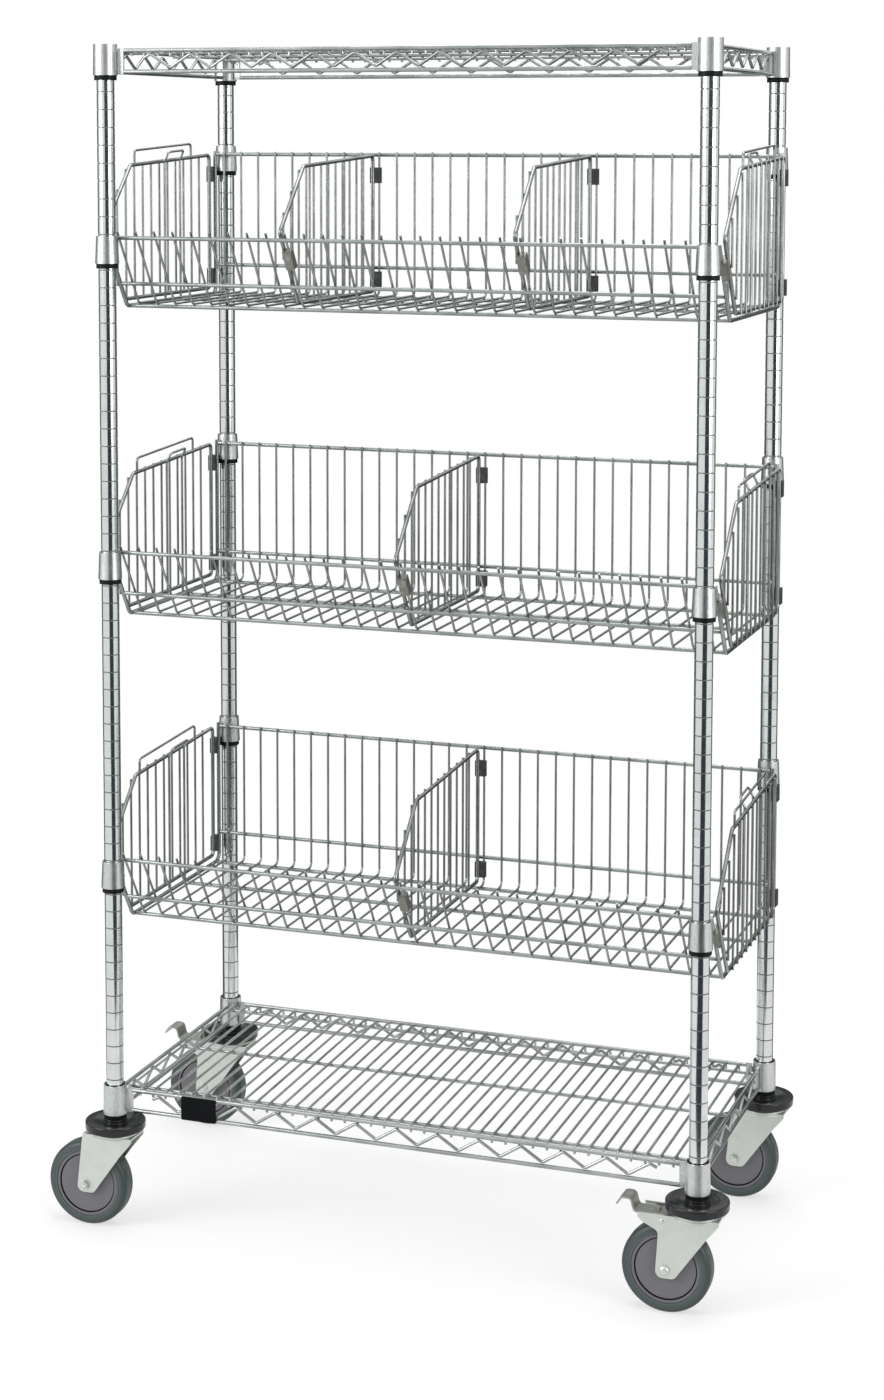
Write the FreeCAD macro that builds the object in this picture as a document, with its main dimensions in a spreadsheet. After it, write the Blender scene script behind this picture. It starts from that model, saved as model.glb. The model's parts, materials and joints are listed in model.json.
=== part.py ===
import FreeCAD, Part
import Sketcher
import math
import os

# Mobile wire basket rack: four grooved posts on swivel casters carry two wire
# shelves and three slant-fronted wire baskets with end panels and dividers.
# Millimetres, +Z up, front towards -Y, origin on the floor midway between the posts.

V = FreeCAD.Vector
UP = V(0, 0, 1)
ALONG = V(1, 0, 0)
doc = FreeCAD.newDocument("basket_rack")

SIZES = {
    # Posts
    "rack_height": 1740,
    "post_spacing_wide": 881.4,
    "post_spacing_deep": 424.2,
    "post_diameter": 25.4,
    "post_wall": 1.5,
    "groove_pitch": 25.4,
    "groove_width": 1.6,
    "groove_depth": 0.6,
    "groove_first_drop": 16.5,
    "cap_flange": 2,
    "cap_plug_depth": 12,
    "socket_height": 45,
    # Clearances and cuts
    "fit_clearance": 0.05,
    "weld_gap": 0.05,
    "cut_overrun": 1,
    # Levels, in steps of the post's groove pitch down from the top
    "bottom_shelf_steps": 60,
    "upper_basket_steps": 11,
    "middle_basket_steps": 29,
    "lower_basket_steps": 47,
    "basket_back_steps": 5,
    "basket_collar_raise": 6.35,
    # Corner collars and their split sleeves
    "shelf_collar_height": 44,
    "shelf_collar_taper": 0.75,
    "basket_collar_height": 39,
    "basket_collar_taper": 1.75,
    "collar_wall": 1.5,
    "shelf_sleeve_wall": 2.6,
    "basket_sleeve_wall": 1.2,
    "sleeve_lip_height": 7,
    "sleeve_top_inset": 1,
    "sleeve_bead_depth": 0.45,
    "sleeve_bead_width": 1.2,
    "sleeve_split_angle": 6,
    # Wire shelves
    "truss_inset": 5,
    "shelf_rail_diameter": 6,
    "shelf_rail_drop": 9,
    "truss_height": 30,
    "bracket_length": 9,
    "bracket_thickness": 3,
    "zigzag_diameter": 4.4,
    "zigzag_half_pitch": 31,
    "zigzag_bend": 5,
    "zigzag_end_margin": 22,
    "zigzag_tail": 10,
    "deck_wire_diameter": 3.8,
    "deck_wire_pitch": 20.2,
    "deck_wire_bend": 5,
    "deck_wire_tail": 5,
    "deck_wire_rise": 1,
    "deck_side_margin": 10,
    "runner_diameter": 5,
    "runner_inset": 25,
    "name_plate_width": 55,
    "name_plate_height": 35,
    "name_plate_thickness": 2,
    "name_plate_corner": 2,
    "name_plate_from_post": 134,
    # Baskets
    "basket_width": 902,
    "basket_rail_diameter": 5.8,
    "side_frame_diameter": 6,
    "side_frame_tip": 5,
    "front_rail_drop": 3,
    "back_rail_drop": 12.7,
    "back_wall_height": 219.7,
    "back_middle_rise": 46.2,
    "floor_front_inset": 67,
    "front_lower_share": 0.667,
    "floor_runner_inset": 139,
    "mat_wire_diameter": 3.4,
    "mat_wire_pitch": 28.9,
    "mat_wire_count": 31,
    "mat_wire_bend": 9,
    "mat_wire_back_tip": 4,
    "mat_wire_front_tip": 8,
    # End panels and dividers
    "panel_frame_diameter": 5.8,
    "panel_frame_bend": 8,
    "panel_wire_diameter": 3.4,
    "panel_wire_pitch": 29,
    "panel_wire_tip": 2,
    "panel_seat_gap": 0.3,
    "panel_top_drop": 1.3,
    "panel_front_drop": 13,
    "panel_top_depth": 283,
    "panel_nose_rise": 11,
    "handle_diameter": 3.6,
    "handle_bend": 6,
    "handle_from_back": 69,
    "handle_length": 200,
    "handle_rise": 21,
    "hoop_diameter": 3.6,
    "hoop_bend": 6,
    "hoop_from_back": 123,
    "hoop_width": 55,
    "hoop_rise": 14,
    "hoop_lean": 7,
    # Clips that hold the dividers to the mat and the end panels to the side frames
    "clip_reach": 9,
    "clip_wall": 1.4,
    "end_clip_hook": 0.6,
    "back_clip_height": 24,
    "back_clip_mouth": 1.2,
    "back_clip_top_drop": 30,
    "back_clip_low_rise": 28.4,
    "front_clip_height": 30,
    "front_clip_mouth": 1,
    "front_clip_share": 0.36,
    # Upper dividers stand this many mat wires either side of the middle wire
    "upper_divider_steps": 6,
    # Caster bumper and swivel
    "bumper_diameter": 89,
    "bumper_rim_height": 13,
    "bumper_rim_width": 13,
    "bumper_dish_depth": 2.5,
    "bumper_hub_diameter": 34,
    "bumper_hub_rise": 2.4,
    "bumper_corner": 2.5,
    "post_seat_rise": 8.6,
    "stem_diameter": 14,
    "seat_gap": 0.1,
    "cap_plate_diameter": 62,
    "cap_plate_thickness": 2.2,
    "cap_skirt_depth": 6,
    "cap_skirt_wall": 2,
    "ball_diameter": 5,
    "ball_ring_diameter": 48,
    "ball_count": 14,
    "king_pin_diameter": 12,
    "king_head_diameter": 20,
    "king_head_height": 3,
    # Fork
    "caster_trail": 40.6,
    "crown_clearance": 12,
    "crown_thickness": 3,
    "crown_diameter": 68,
    "fork_plate": 2.5,
    "fork_side_gap": 3.5,
    "fork_nose_reach": 35,
    "fork_nose_depth": 6,
    "fork_knee_reach": 17,
    "fork_knee_drop": 28,
    "fork_tail_reach": 13,
    "fork_tail_lean": 10,
    "fork_toe_reach": 14,
    "fork_foot_drop": 10.5,
    "fork_foot_round": 10,
    "brake_arm_reach": 38,
    "brake_arm_depth": 6.5,
    "brake_arm_chamfer": 6,
    "brake_neck_reach": 9,
    "brake_neck_drop": 23.5,
    "brake_neck_round": 8,
    # Wheel
    "wheel_diameter": 127,
    "tyre_width": 32,
    "tyre_shoulder": 9,
    "hub_diameter": 98,
    "hub_rim_width": 29,
    "hub_face_diameter": 86,
    "hub_face_width": 26,
    "hub_groove_width": 1.4,
    "hub_groove_depth": 3,
    "hub_boss_diameter": 26,
    "bearing_diameter": 22,
    "bearing_width": 9,
    "axle_diameter": 8,
    "axle_sleeve_wall": 2,
    "bolt_head_diameter": 14,
    "bolt_head_height": 4.5,
    "nut_across_flats": 13,
    "nut_height": 6.5,
    "bolt_stub": 3,
    "running_gap": 0.5,
    # Brake pedal
    "brake_pin_diameter": 5,
    "brake_pin_setback": 4,
    "brake_pin_drop": 9,
    "brake_pin_stub": 0.8,
    "pedal_barrel_diameter": 10,
    "pedal_width": 30,
    "pedal_gap": 2,
    "pedal_strip": 2.5,
    "pedal_bite": 0.6,
    "pedal_heel": 6,
    "pedal_reach": 41,
    "pedal_curl_lean": 5,
    "pedal_curl_rise": 18,
    "pedal_curl_length": 13,
    "pedal_tip_reach": 7,
    "pedal_tip_drop": 10.5,
    "pedal_bend": 6,
    "shoe_near": 8,
    "shoe_far": 20,
    "shoe_gap": 0.4,
    "adjuster_width": 8,
    "adjuster_height": 5,
    "adjuster_reach": 15,
}

sheet = doc.addObject("Spreadsheet::Sheet", "sizes")
for row, (alias, number) in enumerate(SIZES.items(), start=1):
    sheet.set("A%d" % row, alias)
    sheet.set("B%d" % row, str(number))
    sheet.setAlias("B%d" % row, alias)
doc.recompute()


def value(expression):
    """What an expression on the sheet comes to, as a plain number."""
    return float(sheet.evalExpression(expression))


def size(alias):
    """A driving dimension, read from the sheet."""
    return value("sizes." + alias)


# Formulas that several pieces share

AXLE_HIGH = "(sizes.wheel_diameter / 2)"
CROWN_UNDER = "(sizes.wheel_diameter + sizes.crown_clearance)"
CROWN_TOP = "(%s + sizes.crown_thickness)" % CROWN_UNDER
CAP_UNDER = "(%s + sizes.ball_diameter + 2 * sizes.fit_clearance)" % CROWN_TOP
CAP_TOP = "(%s + sizes.cap_plate_thickness)" % CAP_UNDER
BUMPER_BASE = "(%s + sizes.seat_gap)" % CAP_TOP
POST_FOOT = "(%s + sizes.post_seat_rise)" % BUMPER_BASE
SLOT_WIDTH = "(sizes.tyre_width + 2 * sizes.fork_side_gap)"
FORK_WIDTH = "(%s + 2 * sizes.fork_plate)" % SLOT_WIDTH
POST_RADIUS = "sizes.post_diameter / 2"
TUBE_BORE = "(sizes.post_diameter / 2 - sizes.post_wall)"
POST_TOP = "(sizes.rack_height - sizes.cap_flange)"
POST_LENGTH = "(%s - %s)" % (POST_TOP, POST_FOOT)
SLEEVE_BORE = "(sizes.post_diameter / 2 + sizes.fit_clearance)"
COLLAR_BORE = "(sizes.post_diameter / 2 + sizes.%s_sleeve_wall + 2 * sizes.fit_clearance)"
TOP_SHELF = "sizes.rack_height"
BOTTOM_SHELF = "(sizes.rack_height - sizes.bottom_shelf_steps * sizes.groove_pitch)"
BASKETS = ("upper", "middle", "lower")
BASKET_LEVEL = "(sizes.rack_height - sizes.%s_basket_steps * sizes.groove_pitch + sizes.basket_collar_raise)"

CORNERS = {
    "front_left": (-1, -1),
    "front_right": (1, -1),
    "back_left": (-1, 1),
    "back_right": (1, 1),
}
BRAKED = ("front_right", "back_left")
NUT_IN_FRONT = ("front_left", "back_right")

NODES = []


# Helpers for sketched bodies

def new_body(label, keep=True):
    body = doc.addObject("PartDesign::Body", label)
    body.Label = label
    if keep:
        NODES.append(body)
    return body


def new_sketch(body, name, role):
    plane = [feature for feature in body.Origin.OriginFeatures if feature.Role == role][0]
    sketch = body.newObject("Sketcher::SketchObject", name)
    sketch.AttachmentSupport = [(plane, "")]
    sketch.MapMode = "FlatFace"
    return sketch


def bind(sketch, constraint, expression):
    index = sketch.addConstraint(constraint)
    sketch.setExpression("Constraints[%d]" % index, expression)


def outline(body, name, role, corners, hole=None):
    """A closed outline whose corners, and the hole at its origin, are expressions on the sheet."""
    sketch = new_sketch(body, name, role)
    points = [V(value(across), value(along), 0) for across, along in corners]
    count = len(points)
    for i in range(count):
        sketch.addGeometry(Part.LineSegment(points[i], points[(i + 1) % count]))
    for i, (across, along) in enumerate(corners):
        sketch.addConstraint(Sketcher.Constraint("Coincident", i, 2, (i + 1) % count, 1))
        if across == "0":
            sketch.addConstraint(Sketcher.Constraint("PointOnObject", i, 1, -2))
        else:
            bind(sketch, Sketcher.Constraint("DistanceX", -1, 1, i, 1, points[i].x), across)
        if along == "0":
            sketch.addConstraint(Sketcher.Constraint("PointOnObject", i, 1, -1))
        else:
            bind(sketch, Sketcher.Constraint("DistanceY", -1, 1, i, 1, points[i].y), along)
    if hole:
        sketch.addGeometry(Part.Circle(V(0, 0, 0), UP, value(hole) / 2))
        sketch.addConstraint(Sketcher.Constraint("Coincident", count, 3, -1, 1))
        bind(sketch, Sketcher.Constraint("Diameter", count, value(hole)), hole)
    return sketch


def circles(body, name, role, rounds):
    """Circles given as (across, along, diameter) expressions on the sheet."""
    sketch = new_sketch(body, name, role)
    for i, (across, along, diameter) in enumerate(rounds):
        centre = V(value(across), value(along), 0)
        sketch.addGeometry(Part.Circle(centre, UP, value(diameter) / 2))
        if across == "0":
            sketch.addConstraint(Sketcher.Constraint("PointOnObject", i, 3, -2))
        else:
            bind(sketch, Sketcher.Constraint("DistanceX", -1, 1, i, 3, centre.x), across)
        if along == "0":
            sketch.addConstraint(Sketcher.Constraint("PointOnObject", i, 3, -1))
        else:
            bind(sketch, Sketcher.Constraint("DistanceY", -1, 1, i, 3, centre.y), along)
        bind(sketch, Sketcher.Constraint("Diameter", i, value(diameter)), diameter)
    return sketch


def pad(body, sketch, length, both_ways=False):
    feature = body.newObject("PartDesign::Pad", sketch.Label + "_pad")
    feature.Profile = sketch
    feature.setExpression("Length", length)
    if both_ways:
        feature.SideType = "Symmetric"
    return feature


def pocket_through(body, sketch):
    feature = body.newObject("PartDesign::Pocket", sketch.Label + "_cut")
    feature.Profile = sketch
    feature.Type = "ThroughAll"
    feature.SideType = "Symmetric"
    return feature


def turned(body, sketch):
    feature = body.newObject("PartDesign::Revolution", sketch.Label + "_turned")
    feature.Profile = sketch
    feature.ReferenceAxis = (sketch, ["V_Axis"])
    feature.Angle = 360
    return feature


def lathe(label, corners, role="XZ_Plane", keep=True):
    """A turned piece: its section's corners are (radius, height) expressions."""
    body = new_body(label, keep)
    turned(body, outline(body, label + "_section", role, corners))
    return body


def place(body, across="0", deep="0", high="0"):
    body.setExpression("Placement.Base.x", across)
    body.setExpression("Placement.Base.y", deep)
    body.setExpression("Placement.Base.z", high)


def at_post(body, corner, high="0"):
    side, face = CORNERS[corner]
    place(body, "%d * sizes.post_spacing_wide / 2" % side, "%d * sizes.post_spacing_deep / 2" % face, high)


def on_four_posts(body, high="0"):
    """Repeats a piece made on the front left post's axis at all four posts."""
    grid = body.newObject("PartDesign::LinearPattern", body.Label + "_grid")
    grid.TransformMode = "Whole shape"
    axes = {f.Role: f for f in body.Origin.OriginFeatures}
    grid.Direction = (axes["X_Axis"], [""])
    grid.Direction2 = (axes["Y_Axis"], [""])
    grid.Occurrences = 2
    grid.Occurrences2 = 2
    grid.setExpression("Length", "sizes.post_spacing_wide")
    grid.setExpression("Length2", "sizes.post_spacing_deep")
    body.Tip = grid
    at_post(body, "front_left", high)


def round_off(body, radius, chosen):
    """Fillets the edges of the tip that the chosen test accepts."""
    doc.recompute()
    base = body.Tip
    names = ["Edge%d" % (i + 1) for i, edge in enumerate(base.Shape.Edges) if chosen(edge)]
    fillet = body.newObject("PartDesign::Fillet", base.Label + "_round")
    fillet.Base = (base, names)
    fillet.setExpression("Radius", radius)
    return fillet


# Helpers for bent wire

def bend_at(before, corner, after, bend):
    """Start, quarter, middle, three-quarter and end points of a rounded corner."""
    back = (before - corner).normalize()
    onward = (after - corner).normalize()
    half = back.getAngle(onward) / 2
    inward = (back + onward).normalize()
    centre = corner + inward * (bend / math.sin(half))
    start = corner + back * (bend / math.tan(half))
    middle = centre - inward * bend
    end = corner + onward * (bend / math.tan(half))
    first = centre + ((start - centre) + (middle - centre)).normalize() * bend
    second = centre + ((end - centre) + (middle - centre)).normalize() * bend
    return start, first, middle, second, end


def runs(corners, bend, closed=False):
    """The runs of a bent wire, each a list of edges cut at the middle of its bends."""
    count = len(corners)
    bent = range(count) if closed else range(1, count - 1)
    bends = {i: bend_at(corners[i - 1], corners[i], corners[(i + 1) % count], bend) for i in bent}
    pieces = []
    for i in range(count if closed else count - 1):
        j = (i + 1) % count
        edges = []
        start = corners[i]
        end = corners[j]
        if i in bends:
            start = bends[i][4]
            edges.append(Part.Arc(bends[i][2], bends[i][3], bends[i][4]).toShape())
        if j in bends:
            end = bends[j][0]
        edges.append(Part.LineSegment(start, end).toShape())
        if j in bends:
            edges.append(Part.Arc(bends[j][0], bends[j][1], bends[j][2]).toShape())
        pieces.append(edges)
    return pieces


def swept(edges, profile_at):
    """A solid swept along edges, with a profile made by profile_at(point, direction)."""
    path = Part.Wire(edges)
    point = edges[0].valueAt(edges[0].FirstParameter)
    direction = edges[0].tangentAt(edges[0].FirstParameter)
    return path.makePipeShell([profile_at(point, direction)], True, False)


def wire_along(edges, diameter):
    return swept(edges, lambda point, heading: Part.Wire(Part.makeCircle(diameter / 2, point, heading)))


def bent_wire(corners, bend, diameter):
    edges = [edge for run in runs(corners, bend) for edge in run]
    return wire_along(edges, diameter)


def wire_runs(corners, bend, diameter, closed=False):
    """A bent wire as separate runs that meet at the middle of its bends."""
    return [wire_along(run, diameter) for run in runs(corners, bend, closed)]


def straight_wire(start, end, diameter):
    return Part.makeCylinder(diameter / 2, (end - start).Length, start, end - start)


def node(label, shapes, across=0, deep=0, high=0):
    """A piece, or a group of like pieces, whose shapes follow the sheet's values."""
    feature = doc.addObject("Part::Feature", label)
    feature.Label = label
    feature.Shape = Part.makeCompound(shapes) if len(shapes) > 1 else shapes[0]
    feature.Placement = FreeCAD.Placement(V(across, deep, high), FreeCAD.Rotation())
    NODES.append(feature)
    return feature


def moved(shape, offset, turn=0, axis=UP):
    copy = shape.copy()
    copy.rotate(V(0, 0, 0), axis, turn)
    copy.translate(offset)
    return copy


def mirrored(shape):
    """The twin of a shape on the rack's other side."""
    return shape.mirror(V(0, 0, 0), ALONG)


# Posts, their caps and the sockets that hold the caster stems

def post(corner):
    body = new_body("post_" + corner)
    ring = [("0", "0", "sizes.post_diameter"), ("0", "0", "2 * " + TUBE_BORE)]
    pad(body, circles(body, "tube_section", "XY_Plane", ring), POST_LENGTH)
    inner = POST_RADIUS + " - sizes.groove_depth"
    outer = POST_RADIUS + " + sizes.cut_overrun"
    height = POST_LENGTH + " - (sizes.groove_first_drop - sizes.cap_flange)"
    low = height + " - sizes.groove_width / 2"
    high = height + " + sizes.groove_width / 2"
    corners = [(inner, low), (outer, low), (outer, high), (inner, high)]
    section = outline(body, "groove_section", "XZ_Plane", corners)
    groove = body.newObject("PartDesign::Groove", "ring_groove")
    groove.Profile = section
    groove.ReferenceAxis = (section, ["V_Axis"])
    groove.Angle = 360
    rows = body.newObject("PartDesign::LinearPattern", "ring_grooves")
    rows.Originals = [groove]
    rows.Direction = (section, ["V_Axis"])
    rows.Reversed = True
    count = "floor((%s - sizes.groove_first_drop) / sizes.groove_pitch)" % POST_LENGTH
    rows.setExpression("Occurrences", count)
    rows.setExpression("Length", "(%s - 1) * sizes.groove_pitch" % count)
    body.Tip = rows
    at_post(body, corner, POST_FOOT)


def post_caps():
    plug = TUBE_BORE + " - sizes.fit_clearance"
    body = lathe("post_caps", [
        ("0", "-sizes.cap_plug_depth"),
        (plug, "-sizes.cap_plug_depth"),
        (plug, "0"),
        (POST_RADIUS, "0"),
        (POST_RADIUS, "sizes.cap_flange"),
        ("0", "sizes.cap_flange"),
    ])
    on_four_posts(body, POST_TOP)


def stem_sockets():
    outer = TUBE_BORE + " - sizes.fit_clearance"
    inner = "sizes.stem_diameter / 2 + sizes.fit_clearance"
    body = lathe("stem_sockets", [
        (inner, "0"),
        (outer, "0"),
        (outer, "sizes.socket_height"),
        (inner, "sizes.socket_height"),
    ])
    on_four_posts(body, POST_FOOT)


# Tapered corner collars and the split sleeves that lock them to the post's grooves

def collar_pattern(kind):
    """One collar with its top at zero, and one half of its sleeve."""
    height = "sizes.%s_collar_height" % kind
    taper = "sizes.%s_collar_taper" % kind
    bore = COLLAR_BORE % kind
    collar = lathe(kind + "_collar_pattern", [
        (bore + " + " + taper, "-" + height),
        (bore + " + sizes.collar_wall + " + taper, "-" + height),
        (bore + " + sizes.collar_wall", "0"),
        (bore, "0"),
    ], keep=False)

    bead = "sizes.groove_first_drop"
    if kind == "basket":
        bead = "(sizes.groove_first_drop + sizes.basket_collar_raise)"
    wall = "%s + sizes.%s_sleeve_wall" % (SLEEVE_BORE, kind)
    slope = "%s / %s" % (taper, height)
    lip = "%s + %s" % (wall, taper)
    lip_base = "-%s - sizes.sleeve_lip_height" % height
    inner = SLEEVE_BORE + " - sizes.sleeve_bead_depth"
    bead_low = "-%s - sizes.sleeve_bead_width / 2" % bead
    bead_high = "-%s + sizes.sleeve_bead_width / 2" % bead
    sleeve = new_body(kind + "_sleeve_pattern", keep=False)
    half = turned(sleeve, outline(sleeve, kind + "_sleeve_section", "XZ_Plane", [
        (SLEEVE_BORE, lip_base),
        (lip, lip_base),
        (lip, "-" + height),
        ("%s + sizes.sleeve_top_inset * %s" % (wall, slope), "-sizes.sleeve_top_inset"),
        (SLEEVE_BORE, "-sizes.sleeve_top_inset"),
        (SLEEVE_BORE, bead_high),
        (inner, bead_high),
        (inner, bead_low),
        (SLEEVE_BORE, bead_low),
    ]))
    half.setExpression("Angle", "180 - sizes.sleeve_split_angle")
    doc.recompute()
    return collar.Shape, sleeve.Shape


def post_points(level, back_rise=0):
    """The four post axes at a collar level, the back pair higher by back_rise."""
    wide = size("post_spacing_wide") / 2
    deep = size("post_spacing_deep") / 2
    rises = {-1: 0, 1: back_rise}
    return [V(side * wide, face * deep, level + rises[face]) for side, face in CORNERS.values()]


def sleeve_halves(sleeve, point):
    return [moved(sleeve, point, turn) for turn in (0, 180)]


# Wire shelves

TRUSS_DEEP = "(sizes.post_spacing_deep / 2 - sizes.truss_inset)"
TRUSS_WIDE = "(sizes.post_spacing_wide / 2 - sizes.truss_inset)"
COLLAR_REACH = "(%s + sizes.collar_wall + sizes.shelf_collar_taper)" % (COLLAR_BORE % "shelf")
BRACKET_START = "(%s + sizes.weld_gap)" % COLLAR_REACH
RAIL_END = "(%s + 2 * sizes.weld_gap + sizes.bracket_length)" % COLLAR_REACH
DECK_DROP = "(sizes.shelf_rail_drop - sizes.deck_wire_rise)"
RUNNER_DROP = DECK_DROP[:-1] + " + sizes.deck_wire_diameter / 2 + sizes.runner_diameter / 2 + sizes.weld_gap)"


def shelf_collars(label, collar, level):
    """Four corner collars, each with two brackets that take the truss rails."""
    height = size("truss_height") + size("shelf_rail_diameter")
    base = -size("shelf_rail_drop") - size("truss_height") - size("shelf_rail_diameter") / 2
    start = value(BRACKET_START)
    length = size("bracket_length")
    thick = size("bracket_thickness")
    inset = size("truss_inset")
    shapes = []
    for point, (side, face) in zip(post_points(level), CORNERS.values()):
        shapes.append(moved(collar, point))
        along = V(min(-side * start, -side * (start + length)), -face * inset - thick / 2, base)
        shapes.append(Part.makeBox(length, thick, height, point + along))
        across = V(-side * inset - thick / 2, min(-face * start, -face * (start + length)), base)
        shapes.append(Part.makeBox(thick, length, height, point + across))
    node(label, shapes)


def shelf_rails(label, level):
    """Top and bottom rails of the four side trusses, and three runners under the deck."""
    body = new_body(label)
    axes = {f.Role: f for f in body.Origin.OriginFeatures}
    top = "%s - sizes.shelf_rail_drop" % level
    wide = "sizes.post_spacing_wide - 2 * %s" % RAIL_END
    deep = "sizes.post_spacing_deep - 2 * %s" % RAIL_END
    thick = "sizes.shelf_rail_diameter"
    long_section = circles(body, "long_rail", "YZ_Plane", [("-" + TRUSS_DEEP, top, thick)])
    long_rail = pad(body, long_section, wide, both_ways=True)
    long_grid = body.newObject("PartDesign::LinearPattern", "long_rails")
    long_grid.Originals = [long_rail]
    long_grid.Direction = (axes["Y_Axis"], [""])
    long_grid.setExpression("Length", "2 * " + TRUSS_DEEP)
    body.Tip = long_grid
    short_section = circles(body, "short_rail", "XZ_Plane", [("-" + TRUSS_WIDE, top, thick)])
    short_rail = pad(body, short_section, deep, both_ways=True)
    short_grid = body.newObject("PartDesign::LinearPattern", "short_rails")
    short_grid.Originals = [short_rail]
    short_grid.Direction = (axes["X_Axis"], [""])
    short_grid.setExpression("Length", "2 * " + TRUSS_WIDE)
    body.Tip = short_grid
    for grid in (long_grid, short_grid):
        grid.Occurrences = 2
        grid.Direction2 = (axes["Z_Axis"], [""])
        grid.Reversed2 = True
        grid.Occurrences2 = 2
        grid.setExpression("Length2", "sizes.truss_height")
    low = "%s - %s" % (level, RUNNER_DROP)
    reach = "(%s - sizes.runner_inset)" % TRUSS_DEEP
    rows = [(deep_at, low, "sizes.runner_diameter") for deep_at in ("-" + reach, "0", reach)]
    span = "2 * (%s - sizes.shelf_rail_diameter / 2 - sizes.weld_gap)" % TRUSS_WIDE
    pad(body, circles(body, "runners", "YZ_Plane", rows), span, both_ways=True)


def zigzag(length, high, low):
    """A truss wire along X about zero, ending in short free tails."""
    half_pitch = size("zigzag_half_pitch")
    tail = size("zigzag_tail")
    steps = 2 * int(length / (2 * half_pitch))
    start = -steps * half_pitch / 2
    points = [V(start + i * half_pitch, 0, high if i % 2 == 0 else low) for i in range(steps + 1)]
    fall = V(tail, 0, -tail / 2)
    rise = V(-tail, 0, -tail / 2)
    return [points[0] + rise] + points + [points[-1] + fall]


def shelf_zigzags(label, level):
    reach = size("shelf_rail_diameter") / 2 + size("zigzag_diameter") / 2 + size("weld_gap")
    high = level - size("shelf_rail_drop") - reach
    low = level - size("shelf_rail_drop") - size("truss_height") + reach
    free = 2 * (value(RAIL_END) + size("zigzag_end_margin"))
    wide = value(TRUSS_WIDE)
    deep = value(TRUSS_DEEP)
    bend = size("zigzag_bend")
    thick = size("zigzag_diameter")
    long_wire = bent_wire(zigzag(size("post_spacing_wide") - free, high, low), bend, thick)
    short_wire = bent_wire(zigzag(size("post_spacing_deep") - free, high, low), bend, thick)
    shapes = [moved(long_wire, V(0, face * deep, 0)) for face in (-1, 1)]
    shapes += [moved(short_wire, V(side * wide, 0, 0), 90) for side in (-1, 1)]
    node(label, shapes)


def shelf_deck(label, level):
    """Deck wires that run front to back and hook down behind the top rails."""
    thick = size("deck_wire_diameter")
    reach = value(TRUSS_DEEP) - size("shelf_rail_diameter") / 2 - thick / 2 - size("weld_gap")
    high = level - value(DECK_DROP)
    low = level - size("shelf_rail_drop") - size("shelf_rail_diameter") / 2 - size("deck_wire_tail")
    corners = [V(0, -reach, low), V(0, -reach, high), V(0, reach, high), V(0, reach, low)]
    wire = bent_wire(corners, size("deck_wire_bend"), thick)
    span = 2 * (value(TRUSS_WIDE) - size("deck_side_margin"))
    count = int(span / size("deck_wire_pitch")) + 1
    first = -(count - 1) * size("deck_wire_pitch") / 2
    node(label, [moved(wire, V(first + i * size("deck_wire_pitch"), 0, 0)) for i in range(count)])


def name_plate():
    """A bare plate that spans the front truss of the bottom shelf."""
    body = new_body("name_plate")
    left = "(sizes.name_plate_from_post - sizes.post_spacing_wide / 2 - sizes.name_plate_width / 2)"
    right = "(sizes.name_plate_from_post - sizes.post_spacing_wide / 2 + sizes.name_plate_width / 2)"
    middle = "(%s - sizes.shelf_rail_drop - sizes.truss_height / 2)" % BOTTOM_SHELF
    low = middle + " - sizes.name_plate_height / 2"
    high = middle + " + sizes.name_plate_height / 2"
    face = outline(body, "plate_face", "XZ_Plane", [(left, low), (right, low), (right, high), (left, high)])
    pad(body, face, "sizes.name_plate_thickness")
    body.Tip = round_off(body, "sizes.name_plate_corner", lambda edge: abs(edge.tangentAt(0).y) > 0.9)
    gap = "sizes.shelf_rail_diameter / 2 + sizes.weld_gap"
    place(body, deep="-%s - %s" % (TRUSS_DEEP, gap))


# Baskets. Each is drawn with its front collars' top at zero height.

def collar_radius(drop):
    """Outside radius of a basket collar, so far below its top."""
    return "(%s + sizes.collar_wall + sizes.basket_collar_taper * %s / sizes.basket_collar_height)" % (
        COLLAR_BORE % "basket", drop)


RAIL_SEAT = "(sizes.post_spacing_deep / 2 - %s - sizes.basket_rail_diameter / 2 - sizes.weld_gap)"
BACK_RISE = "(sizes.basket_back_steps * sizes.groove_pitch)"
BACK_RAIL_DEEP = RAIL_SEAT % collar_radius("(sizes.back_rail_drop + sizes.basket_rail_diameter / 2)")
FRONT_RAIL_DEEP = "-" + RAIL_SEAT % collar_radius("(sizes.front_rail_drop + sizes.basket_rail_diameter / 2)")
BACK_RAIL_HIGH = "(%s - sizes.back_rail_drop)" % BACK_RISE
FRONT_RAIL_HIGH = "(-sizes.front_rail_drop)"
FLOOR_HIGH = "(%s - sizes.back_rail_drop - sizes.back_wall_height)" % BACK_RISE
FLOOR_FRONT = "(%s + sizes.floor_front_inset)" % FRONT_RAIL_DEEP
FRONT_LOWER_DEEP = "(%s + sizes.front_lower_share * sizes.floor_front_inset)" % FRONT_RAIL_DEEP
FRONT_LOWER_HIGH = "({0} + sizes.front_lower_share * ({1} - {0}))".format(FRONT_RAIL_HIGH, FLOOR_HIGH)
MAT_OFFSET = "(sizes.basket_rail_diameter / 2 + sizes.mat_wire_diameter / 2 + sizes.weld_gap)"
RAIL_BEND = "(%s + sizes.mat_wire_bend)" % MAT_OFFSET
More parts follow.
